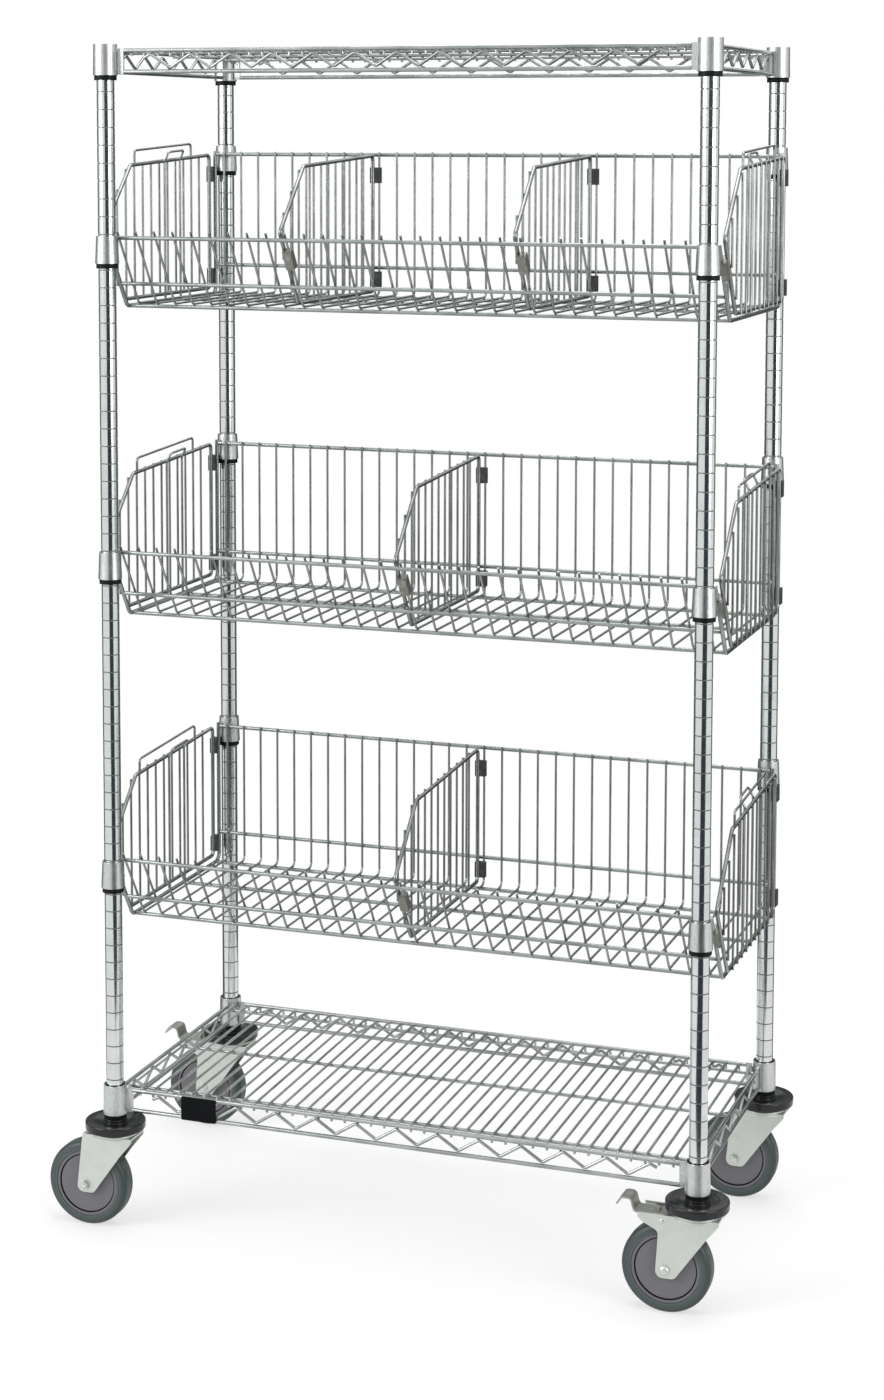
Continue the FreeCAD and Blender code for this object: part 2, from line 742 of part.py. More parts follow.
# The front leans on the floor's edge, so its bend starts this much sooner than a square one.
FRONT_FALL = "(%s - %s)" % (FRONT_RAIL_HIGH, FLOOR_HIGH)
FRONT_BEND = "(%s * tan(90deg / 2 - atan(sizes.floor_front_inset / %s) / 2))" % (RAIL_BEND, FRONT_FALL)
PANEL_OFFSET = (MAT_OFFSET[:-1] + " + sizes.mat_wire_diameter / 2 + sizes.panel_seat_gap"
                " + sizes.panel_frame_diameter / 2)")


def basket_outline(offset):
    """Back line, floor line and front line of the basket, moved inwards by offset.

    Returns the back bottom corner, the front bottom corner, the point level with
    the front rail on the slanted front, and the front's upward direction."""
    front = V(0, value(FRONT_RAIL_DEEP), value(FRONT_RAIL_HIGH))
    foot = V(0, value(FLOOR_FRONT), value(FLOOR_HIGH))
    rising = (front - foot).normalize()
    inward = V(0, rising.z, -rising.y)
    lip = front + inward * offset
    floor = value(FLOOR_HIGH) + offset
    corner = lip - rising * ((lip.z - floor) / rising.z)
    back = V(0, value(BACK_RAIL_DEEP) - offset, floor)
    return back, corner, lip, rising


def basket_rails(name):
    """The seven long rails that the mat and the collars are welded to."""
    label = name + "_basket_rails"
    body = new_body(label)
    places = [
        (BACK_RAIL_DEEP, BACK_RAIL_HIGH),
        (BACK_RAIL_DEEP, FLOOR_HIGH + " + sizes.back_middle_rise"),
        ("%s - %s" % (BACK_RAIL_DEEP, RAIL_BEND), FLOOR_HIGH),
        (BACK_RAIL_DEEP + " - sizes.floor_runner_inset", FLOOR_HIGH),
        ("%s + %s" % (FLOOR_FRONT, FRONT_BEND), FLOOR_HIGH),
        (FRONT_LOWER_DEEP, FRONT_LOWER_HIGH),
        (FRONT_RAIL_DEEP, FRONT_RAIL_HIGH),
    ]
    rounds = [(deep, high, "sizes.basket_rail_diameter") for deep, high in places]
    length = "sizes.basket_width - sizes.side_frame_diameter - 2 * sizes.weld_gap"
    pad(body, circles(body, label + "_section", "YZ_Plane", rounds), length, both_ways=True)
    place(body, high=BASKET_LEVEL % name)


def panel_corners():
    """Corners of an end panel or divider: back bottom, back top, front top, nose, front bottom."""
    back, corner, lip, rising = basket_outline(value(PANEL_OFFSET))
    top = V(0, back.y, value(BACK_RAIL_HIGH) - size("panel_top_drop"))
    front_top = V(0, back.y - size("panel_top_depth"), top.z - size("panel_front_drop"))
    nose = lip + rising * ((size("panel_nose_rise") + value(FRONT_RAIL_HIGH) - lip.z) / rising.z)
    return [back, top, front_top, nose, corner]


def height_on(corners, deep):
    """Lowest and highest points of a panel's outline at one depth."""
    heights = []
    for start, end in zip(corners, corners[1:] + corners[:1]):
        if min(start.y, end.y) <= deep <= max(start.y, end.y) and start.y != end.y:
            heights.append(start.z + (end.z - start.z) * (deep - start.y) / (end.y - start.y))
    return min(heights), max(heights)


def side_frames(level, name):
    """U-shaped end wires of a basket, each with a hoop that leans inwards beside the end panel."""
    back, corner, lip, rising = basket_outline(0)
    top = V(0, back.y, value(BACK_RAIL_HIGH) + size("side_frame_tip"))
    frame = wire_runs([top, back, corner, lip + rising * size("side_frame_tip")],
                      value(RAIL_BEND), size("side_frame_diameter"))
    panel = panel_corners()
    hoop_back = panel[0].y - size("hoop_from_back")
    hoop_front = hoop_back - size("hoop_width")
    foot = value(FLOOR_HIGH) + size("side_frame_diameter") / 2 + size("weld_gap")
    bends = [V(0, deep, height_on(panel, deep)[1]) for deep in (hoop_back, hoop_front)]
    lean = V(size("hoop_lean"), 0, size("hoop_rise"))
    hoop = wire_runs([V(0, hoop_back, foot), bends[0], bends[0] + lean, bends[1] + lean, bends[1],
                      V(0, hoop_front, foot)], size("hoop_bend"), size("hoop_diameter"))
    left = V(-size("basket_width") / 2, 0, 0)
    ended = [moved(shape, left) for shape in frame + hoop]
    node(name + "_basket_side_frames", ended + [mirrored(shape) for shape in ended], high=level)


def mat_places():
    """Where the mat's wires stand along the basket."""
    count = int(size("mat_wire_count"))
    first = -(count - 1) * size("mat_wire_pitch") / 2
    return [first + i * size("mat_wire_pitch") for i in range(count)]


def basket_mat(level, name):
    """Thin wires that run down the back, along the floor and up the slanted front."""
    back, corner, lip, rising = basket_outline(value(MAT_OFFSET))
    top = V(0, back.y, value(BACK_RAIL_HIGH) + size("mat_wire_back_tip"))
    tip = lip + rising * size("mat_wire_front_tip")
    wire = wire_runs([top, back, corner, tip], size("mat_wire_bend"), size("mat_wire_diameter"))
    shapes = [moved(run, V(x, 0, 0)) for x in mat_places() for run in wire]
    node(name + "_basket_wires", shapes, high=level)


def panel_shapes():
    """A divider at zero width: its frame, and upright wires on its left face."""
    corners = panel_corners()
    shapes = wire_runs(corners, size("panel_frame_bend"), size("panel_frame_diameter"), closed=True)
    side = -(size("panel_frame_diameter") + size("panel_wire_diameter")) / 2 - size("weld_gap")
    tip = size("panel_wire_tip")
    deep = corners[0].y - size("panel_wire_pitch")
    front = min(corner.y for corner in corners)
    while deep > front + size("panel_frame_bend"):
        low, high = height_on(corners, deep)
        foot = V(side, deep, low - tip)
        shapes.append(straight_wire(foot, V(side, deep, high + tip), size("panel_wire_diameter")))
        deep -= size("panel_wire_pitch")
    return shapes


def panel_handle():
    """A low loop above a panel's sloping top edge."""
    corners = panel_corners()
    edge = corners[2] - corners[1]
    frame_reach = size("panel_frame_diameter") * edge.Length / abs(edge.y)
    foot_reach = size("handle_diameter") * abs(edge.z / edge.y)
    seat = (frame_reach + foot_reach) / 2 + size("weld_gap")
    back = corners[0].y - size("handle_from_back")
    front = back - size("handle_length")
    feet = [V(0, deep, height_on(corners, deep)[1] + seat) for deep in (back, front)]
    tops = [V(0, deep, height_on(corners, deep)[1] + size("handle_rise")) for deep in (back, front)]
    return wire_runs([feet[0], tops[0], tops[1], feet[1]], size("handle_bend"), size("handle_diameter"))


CLIP_EDGE = "(sizes.panel_frame_diameter / 2 + sizes.clip_wall)"
END_REACH = "(sizes.side_frame_diameter / 2 + sizes.panel_seat_gap + sizes.panel_frame_diameter / 2)"
# The upright that a clip holds a panel to: its diameter, how far it stands to the right of the
# panel and outwards of it, and how far past its middle the clip reaches.
HELD = {
    "divider": ("sizes.mat_wire_diameter", "sizes.clip_reach", "(%s - %s)" % (PANEL_OFFSET, MAT_OFFSET),
                "(sizes.mat_wire_diameter / 2 + sizes.clip_wall)"),
    "end": ("sizes.side_frame_diameter", END_REACH, PANEL_OFFSET, "sizes.end_clip_hook"),
}


def clip_pattern(label, height, left, front, held):
    """A clip that holds a panel's frame, at the origin, to the upright beside it.

    It is a channel, open on each side whose edge falls inside a hole."""
    body = new_body(label, keep=False)
    wire, reach, offset, hook = HELD[held]
    right = "(%s + %s)" % (reach, hook)
    deep = "(%s + %s / 2 + sizes.clip_wall)" % (offset, wire)
    corners = [("-" + left, "-" + front), (right, "-" + front), (right, deep), ("-" + left, deep)]
    pad(body, outline(body, label + "_block", "XY_Plane", corners), height, both_ways=True)
    holes = [
        ("0", "0", "sizes.panel_frame_diameter + 2 * sizes.fit_clearance"),
        (reach, offset, wire + " + 2 * sizes.fit_clearance"),
    ]
    pocket_through(body, circles(body, label + "_holes", "XY_Plane", holes))
    doc.recompute()
    return body.Shape


def clip_patterns(held):
    """The back clip and the front clip of an end panel or a divider."""
    back = clip_pattern(held + "_back_clip_pattern", "sizes.back_clip_height",
                        CLIP_EDGE, "sizes.back_clip_mouth", held)
    front = clip_pattern(held + "_front_clip_pattern", "sizes.front_clip_height",
                         "sizes.front_clip_mouth", CLIP_EDGE, held)
    return back, front


def clip_places():
    """Heights of the two back clips, and where the front clip sits on the slanted edge."""
    corners = panel_corners()
    high = V(0, corners[0].y, corners[1].z - size("back_clip_top_drop"))
    low = V(0, corners[0].y, value(FLOOR_HIGH) + size("back_clip_low_rise"))
    front = corners[3] + (corners[4] - corners[3]) * size("front_clip_share")
    # Turned about X until the clip's far side faces out of the slanted front.
    rising = corners[3] - corners[4]
    lean = math.degrees(math.atan2(rising.y, -rising.z))
    return high, low, front, lean


def divider_places(name):
    """Mat wires that the dividers of a basket are clipped to, counted from the middle."""
    steps = int(size("upper_divider_steps"))
    return (-steps, steps) if name == "upper" else (0,)


def basket_panels(level, name, patterns, clips):
    """Two end panels outside the side frames and the dividers of one basket, with their clips."""
    places = mat_places()
    middle = len(places) // 2
    divider = panel_shapes()
    ended = divider + panel_handle()
    left = V(-size("basket_width") / 2 - value(END_REACH), 0, 0)
    node(name + "_basket_end_panels", [moved(shape, left) for shape in ended]
         + [mirrored(moved(shape, left)) for shape in ended], high=level)
    stands = [V(places[middle + step] - size("clip_reach"), 0, 0) for step in divider_places(name)]
    node(name + "_basket_dividers", [moved(shape, stand) for stand in stands for shape in divider], high=level)
    high, low, front, lean = clip_places()
    lift = V(0, 0, level)
    for held, stand in [("end", left)] + [("divider", stand) for stand in stands]:
        back_clip, front_clip = patterns[held]
        leaning = moved(front_clip, front, lean, ALONG)
        for kind, loose in (("back", [moved(back_clip, high), moved(back_clip, low)]), ("front", [leaning])):
            shapes = [moved(clip, stand) for clip in loose]
            if held == "end":
                shapes += [mirrored(clip) for clip in shapes]
            clips[kind] += [moved(clip, lift) for clip in shapes]


# Casters

PIN_X = "(-sizes.caster_trail - sizes.brake_pin_setback)"
PIN_HIGH = "(%s - sizes.brake_pin_drop)" % CROWN_TOP
TRAIL_X = "(-sizes.caster_trail)"
BOSS_HALF = "(%s / 2 - sizes.running_gap)" % SLOT_WIDTH
AXLE_SLEEVE = "(sizes.axle_diameter / 2 + sizes.fit_clearance + sizes.axle_sleeve_wall)"
BEARING_SEAT = "(sizes.bearing_diameter / 2 + sizes.fit_clearance)"


def bumpers():
    """Round bumpers that seat on the casters and take the feet of the posts."""
    outer = "sizes.bumper_diameter / 2"
    rim_top = "%s + sizes.bumper_rim_height" % BUMPER_BASE
    dish = "%s - sizes.bumper_dish_depth" % rim_top
    hub_top = "%s + sizes.bumper_hub_rise" % rim_top
    bore = "sizes.stem_diameter / 2 + sizes.fit_clearance"
    seat = "%s - sizes.seat_gap" % POST_FOOT
    socket = "sizes.post_diameter / 2 + sizes.fit_clearance"
    body = lathe("bumpers", [
        (bore, BUMPER_BASE),
        (outer, BUMPER_BASE),
        (outer, rim_top),
        (outer + " - sizes.bumper_rim_width", rim_top),
        ("sizes.bumper_hub_diameter / 2", dish),
        ("sizes.bumper_hub_diameter / 2", hub_top),
        (socket, hub_top),
        (socket, seat),
        (bore, seat),
    ])
    body.Tip = round_off(body, "sizes.bumper_corner", lambda edge: is_ring(edge, value(outer)))
    on_four_posts(body)


def is_ring(edge, radius):
    round_edge = isinstance(edge.Curve, Part.Circle)
    return round_edge and math.isclose(edge.Curve.Radius, radius)


def caster_stems():
    """Stem, bearing cap and riveted king pin that a caster turns on."""
    head_top = "%s - sizes.seat_gap" % CROWN_UNDER
    head_low = "%s - sizes.king_head_height" % head_top
    skirt_low = "%s - sizes.cap_skirt_depth" % CAP_TOP
    skirt = "sizes.cap_plate_diameter / 2 - sizes.cap_skirt_wall"
    stem_top = "%s + sizes.socket_height" % POST_FOOT
    body = lathe("caster_stems", [
        ("0", head_low),
        ("sizes.king_head_diameter / 2", head_low),
        ("sizes.king_head_diameter / 2", head_top),
        ("sizes.king_pin_diameter / 2", head_top),
        ("sizes.king_pin_diameter / 2", CAP_UNDER),
        (skirt, CAP_UNDER),
        (skirt, skirt_low),
        ("sizes.cap_plate_diameter / 2", skirt_low),
        ("sizes.cap_plate_diameter / 2", CAP_TOP),
        ("sizes.stem_diameter / 2", CAP_TOP),
        ("sizes.stem_diameter / 2", stem_top),
        ("0", stem_top),
    ])
    on_four_posts(body)


def swivel_balls():
    """Rings of balls between the fork crowns and the bearing caps."""
    ball = Part.makeSphere(size("ball_diameter") / 2)
    level = value(CROWN_TOP) + size("ball_diameter") / 2 + size("fit_clearance")
    count = int(size("ball_count"))
    reach = V(size("ball_ring_diameter") / 2, 0, 0)
    ring = [moved(moved(ball, reach), V(0, 0, 0), i * 360 / count) for i in range(count)]
    node("swivel_balls", [moved(shape, point) for point in post_points(level) for shape in ring])


def fork(corner):
    """A pressed caster fork; the braked ones have an arm that carries the pedal's pin."""
    braked = corner in BRAKED
    label = "fork_" + corner
    body = new_body(label)
    foot = "%s - sizes.fork_foot_drop" % AXLE_HIGH
    heel = "%s - sizes.fork_tail_reach" % TRAIL_X
    toe = "%s + sizes.fork_toe_reach" % TRAIL_X
    corners = [
        (heel, foot),
        (toe, foot),
        ("sizes.fork_knee_reach", "%s - sizes.fork_knee_drop" % CROWN_TOP),
        ("sizes.fork_nose_reach", "%s - sizes.fork_nose_depth" % CROWN_TOP),
        ("sizes.fork_nose_reach", CROWN_TOP),
    ]
    neck = ("%s - sizes.brake_neck_reach" % TRAIL_X, "%s - sizes.brake_neck_drop" % CROWN_TOP)
    if braked:
        end = "%s - sizes.brake_arm_reach" % TRAIL_X
        under = "%s - sizes.brake_arm_depth" % CROWN_TOP
        corners += [(end, CROWN_TOP), (end, under)]
        corners += [("%s + sizes.brake_arm_chamfer" % end, "%s - sizes.brake_arm_chamfer" % under), neck]
    else:
        corners.append(("%s + sizes.fork_tail_lean" % heel, CROWN_TOP))
    pad(body, outline(body, label + "_side", "XZ_Plane", corners), FORK_WIDTH, both_ways=True)

    def runs_across_at(edge, places):
        middle = edge.CenterOfMass
        straight = abs(edge.tangentAt(edge.FirstParameter).y) > abs(edge.tangentAt(edge.FirstParameter).x)
        return straight and any(math.hypot(middle.x - value(x), middle.z - value(z)) < size("cut_overrun")
                                for x, z in places)

    body.Tip = round_off(body, "sizes.fork_foot_round", lambda edge: runs_across_at(edge, corners[:2]))
    if braked:
        body.Tip = round_off(body, "sizes.brake_neck_round", lambda edge: runs_across_at(edge, [neck]))
    crown = circles(body, label + "_crown", "XY_Plane", [("0", "0", "sizes.crown_diameter")])
    crown.setExpression("AttachmentOffset.Base.z", CROWN_UNDER)
    pad(body, crown, "sizes.crown_thickness")
    half = "%s / 2" % SLOT_WIDTH
    slot = [("-" + half, "-sizes.cut_overrun"), (half, "-sizes.cut_overrun"), (half, CROWN_UNDER),
            ("-" + half, CROWN_UNDER)]
    pocket_through(body, outline(body, label + "_slot", "YZ_Plane", slot))
    hole = [(TRAIL_X, AXLE_HIGH, "sizes.axle_diameter + 2 * sizes.fit_clearance")]
    pin = "sizes.brake_pin_diameter"
    if braked:
        hole.append((PIN_X, PIN_HIGH, pin + " + 2 * sizes.fit_clearance"))
        edge = "%s + sizes.pedal_heel + sizes.pedal_gap" % PIN_X
        beyond = "%s - sizes.cut_overrun" % end
        mouth = [(beyond, "-" + half), (edge, "-" + half), (edge, half), (beyond, half)]
        pocket_through(body, outline(body, label + "_pedal_mouth", "XY_Plane", mouth))
    pocket_through(body, circles(body, label + "_cross_holes", "XZ_Plane", hole))
    king = [("0", "0", "sizes.king_pin_diameter + 2 * sizes.fit_clearance")]
    pocket_through(body, circles(body, label + "_king_hole", "XY_Plane", king))
    if braked:
        length = "%s + 2 * sizes.brake_pin_stub" % FORK_WIDTH
        section = circles(body, label + "_pedal_pin", "XZ_Plane", [(PIN_X, PIN_HIGH, pin)])
        pad(body, section, length, both_ways=True)
    at_post(body, corner)


def wheel_place(body, corner):
    side, face = CORNERS[corner]
    place(body, "%d * sizes.post_spacing_wide / 2 - sizes.caster_trail" % side,
          "%d * sizes.post_spacing_deep / 2" % face, AXLE_HIGH)


def axle(corner):
    """Bolt, nut and the sleeve that the wheel runs on."""
    label = "axle_" + corner
    body = new_body(label)
    nut_side = -1 if corner in NUT_IN_FRONT else 1
    side = "%d * (%s / 2 + sizes.seat_gap%s)"
    shank = "sizes.axle_diameter / 2"
    head = "sizes.bolt_head_diameter / 2"
    head_seat = side % (-nut_side, FORK_WIDTH, "")
    head_end = side % (-nut_side, FORK_WIDTH, " + sizes.bolt_head_height")
    tail = side % (nut_side, FORK_WIDTH, " + sizes.nut_height + sizes.bolt_stub")
    turned(body, outline(body, label + "_bolt", "XY_Plane", [
        ("0", head_end),
        (head + " - sizes.running_gap", head_end),
        (head, head_seat),
        (shank, head_seat),
        (shank, tail),
        ("0", tail),
    ]))
    bore = shank + " + sizes.fit_clearance"
    length = "(%s / 2 - sizes.fit_clearance)" % SLOT_WIDTH
    turned(body, outline(body, label + "_sleeve", "XY_Plane", [
        (bore, "-" + length),
        (AXLE_SLEEVE, "-" + length),
        (AXLE_SLEEVE, length),
        (bore, length),
    ]))
    point = "sizes.nut_across_flats / sqrt(3)"
    flat = "sizes.nut_across_flats / 2"
    hexagon = [(point, "0"), (point + " / 2", flat), ("-%s / 2" % point, flat),
               ("-" + point, "0"), ("-%s / 2" % point, "-" + flat), (point + " / 2", "-" + flat)]
    nut = outline(body, label + "_nut", "XZ_Plane", hexagon, "2 * (%s)" % bore)
    # The sketch faces the front, so a nut at the back starts at its far face.
    far = " + sizes.nut_height" if nut_side > 0 else ""
    nut.setExpression("AttachmentOffset.Base.z", side % (-nut_side, FORK_WIDTH, far))
    pad(body, nut, "sizes.nut_height")
    wheel_place(body, corner)


def hub(corner):
    """Wheel centre with a ring groove on each face, and its two bearings."""
    label = "hub_" + corner
    body = new_body(label)
    face = "sizes.hub_face_width / 2"
    rim = "sizes.hub_rim_width / 2"
    ring = "sizes.hub_face_diameter / 2"
    depth = "(%s - sizes.hub_groove_depth)" % face
    inner_end = "(%s - sizes.bearing_width)" % BOSS_HALF
    half = [
        (AXLE_SLEEVE + " + sizes.running_gap", inner_end),
        (BEARING_SEAT, inner_end),
        (BEARING_SEAT, BOSS_HALF),
        ("sizes.hub_boss_diameter / 2", BOSS_HALF),
        ("sizes.hub_boss_diameter / 2", face),
        (ring, face),
        (ring, depth),
        (ring + " + sizes.hub_groove_width", depth),
        (ring + " + sizes.hub_groove_width", rim),
        ("sizes.hub_diameter / 2", rim),
    ]
    other = [(radius, "-" + high) for radius, high in reversed(half)]
    turned(body, outline(body, label + "_section", "XY_Plane", half + other))
    bore = AXLE_SLEEVE + " + sizes.fit_clearance"
    seat = "%s + sizes.fit_clearance" % inner_end
    race = "sizes.bearing_diameter / 2"
    for side in ("", "-"):
        turned(body, outline(body, label + "_bearing", "XY_Plane", [
            (bore, side + "(%s)" % seat),
            (race, side + "(%s)" % seat),
            (race, side + BOSS_HALF),
            (bore, side + BOSS_HALF),
        ]))
    wheel_place(body, corner)


def tyre(corner):
    label = "tyre_" + corner
    inner = "sizes.hub_diameter / 2 + sizes.fit_clearance"
    half = "sizes.tyre_width / 2"
    body = lathe(label, [
        (inner, "-" + half),
        (AXLE_HIGH, "-" + half),
        (AXLE_HIGH, half),
        (inner, half),
    ], role="XY_Plane")
    body.Tip = round_off(body, "sizes.tyre_shoulder", lambda edge: is_ring(edge, value(AXLE_HIGH)))
    wheel_place(body, corner)


def brake_pedal(corner):
    """A bent strip with a curled toe, a barrel round its pin and a shoe over the tyre."""
    side, face = CORNERS[corner]
    pin_x = value(PIN_X)
    pin_high = value(PIN_HIGH)
    width = size("pedal_width")
    strip = size("pedal_strip")
    barrel = size("pedal_barrel_diameter") / 2
    level = pin_high + barrel + strip / 2 - size("pedal_bite")
    bend_x = pin_x - size("pedal_reach")
    rise_x = bend_x - size("pedal_curl_lean")
    fall_x = rise_x - size("pedal_curl_length")
    top = level + size("pedal_curl_rise")
    path = [
        V(pin_x + size("pedal_heel"), 0, level),
        V(bend_x, 0, level),
        V(rise_x, 0, top),
        V(fall_x, 0, top),
        V(fall_x - size("pedal_tip_reach"), 0, top - size("pedal_tip_drop")),
    ]
    edges = [edge for run in runs(path, size("pedal_bend")) for edge in run]

    def flat_section(point, heading):
        across = V(0, width / 2, 0)
        thick = heading.cross(V(0, 1, 0)) * (strip / 2)
        ring = [point + across + thick, point - across + thick, point - across - thick, point + across - thick]
        return Part.makePolygon(ring + ring[:1])

    lever = swept(edges, flat_section)
    tube = Part.makeCylinder(barrel, width, V(pin_x, -width / 2, pin_high), V(0, 1, 0))
    near = size("brake_pin_setback") + size("shoe_near")
    tread = value(AXLE_HIGH) + math.sqrt(value(AXLE_HIGH) ** 2 - near ** 2)
    shoe_low = tread + size("shoe_gap")
    shoe = Part.makeBox(size("shoe_far") - size("shoe_near"), width, level - shoe_low,
                        V(pin_x - size("shoe_far"), -width / 2, shoe_low))
    hole = Part.makeCylinder(size("brake_pin_diameter") / 2 + size("fit_clearance"), width,
                             V(pin_x, -width / 2, pin_high), V(0, 1, 0))
    lever = lever.fuse([tube, shoe]).removeSplitter().cut(hole)
    block = size("adjuster_width")
    adjuster = Part.makeBox(block, block, size("adjuster_height"), V(
        pin_x - size("adjuster_reach"), -block / 2, level + strip / 2 + size("weld_gap")))
    node("brake_pedal_" + corner, lever.Solids + [adjuster],
         side * size("post_spacing_wide") / 2, face * size("post_spacing_deep") / 2)


def build_casters():
    caster_stems()
    swivel_balls()
    bumpers()
    for corner in CORNERS:
        fork(corner)
        axle(corner)
        hub(corner)
        tyre(corner)
    for corner in BRAKED:
        brake_pedal(corner)


def build_posts():
    for corner in CORNERS:
        post(corner)
    post_caps()
    stem_sockets()


def build_shelves(collar, sleeve):
    for label, level in (("top_shelf", TOP_SHELF), ("bottom_shelf", BOTTOM_SHELF)):
        height = value(level)
        shelf_collars(label + "_collars", collar, height)
        shelf_rails(label + "_rails", level)
        shelf_zigzags(label + "_zigzags", height)
        shelf_deck(label + "_deck_wires", height)
        points = post_points(height)
        node(label + "_sleeves", [half for point in points for half in sleeve_halves(sleeve, point)])
    name_plate()


def build_baskets(collar, sleeve):
    patterns = {held: clip_patterns(held) for held in HELD}
    halves = []
    clips = {"back": [], "front": []}
    for name in BASKETS:
        level = value(BASKET_LEVEL % name)
        points = post_points(level, value(BACK_RISE))
        node(name + "_basket_collars", [moved(collar, point) for point in points])
        for point in points:
            halves += sleeve_halves(sleeve, point)
        basket_rails(name)
        side_frames(level, name)
        basket_mat(level, name)
        basket_panels(level, name, patterns, clips)
    node("basket_sleeves", halves)
    node("panel_back_clips", clips["back"])
    node("panel_front_clips", clips["front"])


build_posts()
build_shelves(*collar_pattern("shelf"))
build_baskets(*collar_pattern("basket"))
build_casters()
doc.recompute()

for item in doc.Objects:
    if "Invalid" in item.State or "Error" in item.State:
        raise RuntimeError("%s could not be built: %s" % (item.Label, item.State))
os.makedirs("parts", exist_ok=True)
for item in NODES:
    if item.Shape.isNull() or not item.Shape.isValid():
        raise RuntimeError(item.Label + " has no valid shape")
    item.Shape.exportStep("parts/%s.step" % item.Label)
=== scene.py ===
"""Looks of the mobile wire basket rack: plated wire, grooved posts, zinc casters and a white studio."""

import json
import math

import bmesh
import bpy
from mathutils import Matrix, Vector


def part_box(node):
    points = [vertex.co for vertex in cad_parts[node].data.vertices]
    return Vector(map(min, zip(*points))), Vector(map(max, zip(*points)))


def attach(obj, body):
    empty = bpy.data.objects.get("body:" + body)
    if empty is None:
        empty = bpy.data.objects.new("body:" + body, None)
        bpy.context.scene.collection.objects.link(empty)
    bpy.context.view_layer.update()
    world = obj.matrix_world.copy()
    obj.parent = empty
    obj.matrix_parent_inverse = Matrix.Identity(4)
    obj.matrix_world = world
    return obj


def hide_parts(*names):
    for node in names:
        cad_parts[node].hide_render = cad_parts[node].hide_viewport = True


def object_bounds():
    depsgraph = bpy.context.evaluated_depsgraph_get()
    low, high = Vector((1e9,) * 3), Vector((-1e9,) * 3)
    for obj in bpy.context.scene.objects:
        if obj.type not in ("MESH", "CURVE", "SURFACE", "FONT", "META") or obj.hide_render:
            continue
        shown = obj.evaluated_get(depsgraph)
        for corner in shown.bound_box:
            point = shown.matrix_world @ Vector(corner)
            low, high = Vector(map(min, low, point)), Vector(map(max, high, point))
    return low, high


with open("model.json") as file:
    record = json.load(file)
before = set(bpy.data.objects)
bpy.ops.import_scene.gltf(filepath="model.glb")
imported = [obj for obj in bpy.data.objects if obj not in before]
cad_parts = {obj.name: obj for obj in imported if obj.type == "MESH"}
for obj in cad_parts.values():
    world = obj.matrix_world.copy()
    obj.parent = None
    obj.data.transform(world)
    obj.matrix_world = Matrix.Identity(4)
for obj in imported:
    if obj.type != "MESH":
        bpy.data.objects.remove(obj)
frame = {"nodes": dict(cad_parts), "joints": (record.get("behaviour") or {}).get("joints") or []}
CAD_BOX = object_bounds()

bl_info = {
    "name": "Basket Rack Finisher",
    "version": (1, 0, 0),
    "blender": (4, 5, 0),
    "location": "View3D > Sidebar > Rack",
    "description": "Finishes for the wire basket rack, modelled casters and a white studio",
    "category": "Object",
}

CORNERS = ("front_left", "front_right", "back_left", "back_right")
BRAKED = ("front_right", "back_left")
NUT_IN_FRONT = ("front_left", "back_right")
BASKETS = ("upper_basket", "middle_basket", "lower_basket")
SHELVES = ("top_shelf", "bottom_shelf")
JOINT_PLACES = {joint["name"]: Vector(joint["pos_m"]) for joint in frame["joints"]}
FULL_TURN = 2 * math.pi
MERGE_DISTANCE = 1e-6
# Edges that turn by more than this are sharp
SMOOTH_ANGLE = math.radians(35)
# Faces that turn by less than this are one flat face
FLAT_ANGLE = math.radians(0.5)
# Edges of the bumpers' dish that turn by more than this are rounded
DISH_ANGLE = math.radians(8)
# Share of the bumper's corner that its dish is rounded by
DISH_SHARE = 0.4
# Share of the race cup's wall that its edges are rounded by
CUP_SHARE = 0.4
# Share of a button head's full round that is left under its flat
BUTTON_CUT = 0.85
# Share of the bolt's radius that is left open for the spin and filled at its end
BOLT_CORE = 0.05
# Share of a radius past which an edge counts as on its rim
RIM_SHARE = 0.99
# Turned rings on the wheel centres, in radians for each metre of radius
TURNED_RINGS = 9000
WHITE = (1, 1, 1, 1)
FLOOR_COLOUR = (0.93, 0.93, 0.93, 1)
FLOOR_HALF = 20
# Where each lamp stands and how wide it is
LAMPS = {
    "key": ((-3.2, -3.0, 2.6), 2.4),
    "fill": ((3.6, -1.6, 1.8), 2.2),
    "top": ((0.2, 0.4, 4.2), 2.6),
}
# Bearing and spread of the curtains in degrees, seen from the rack's middle with zero along +X
CURTAINS = {
    "camera_curtain": (-61, 52),
    "back_right_curtain": (62, 47),
    "back_curtain": (109, 47),
    "back_left_curtain": (156, 47),
}


# Sizes and colours that a user would change

def length(name, description, default):
    return bpy.props.FloatProperty(
        name=name, description=description, default=default, min=0.0, precision=5,
        subtype="DISTANCE", unit="LENGTH")


def colour(name, description, default):
    return bpy.props.FloatVectorProperty(
        name=name, description=description, default=default + (1.0,), size=4, min=0.0, max=1.0,
        subtype="COLOR")


def camera_turn(name, description, degrees):
    return bpy.props.FloatProperty(
        name=name, description=description, default=math.radians(degrees), subtype="ANGLE")


def lens_length(name, description, default):
    return bpy.props.FloatProperty(
        name=name, description=description, default=default, subtype="DISTANCE_CAMERA")


def power(name, description, default):
    return bpy.props.FloatProperty(
        name=name, description=description, default=default, min=0.0, subtype="POWER")


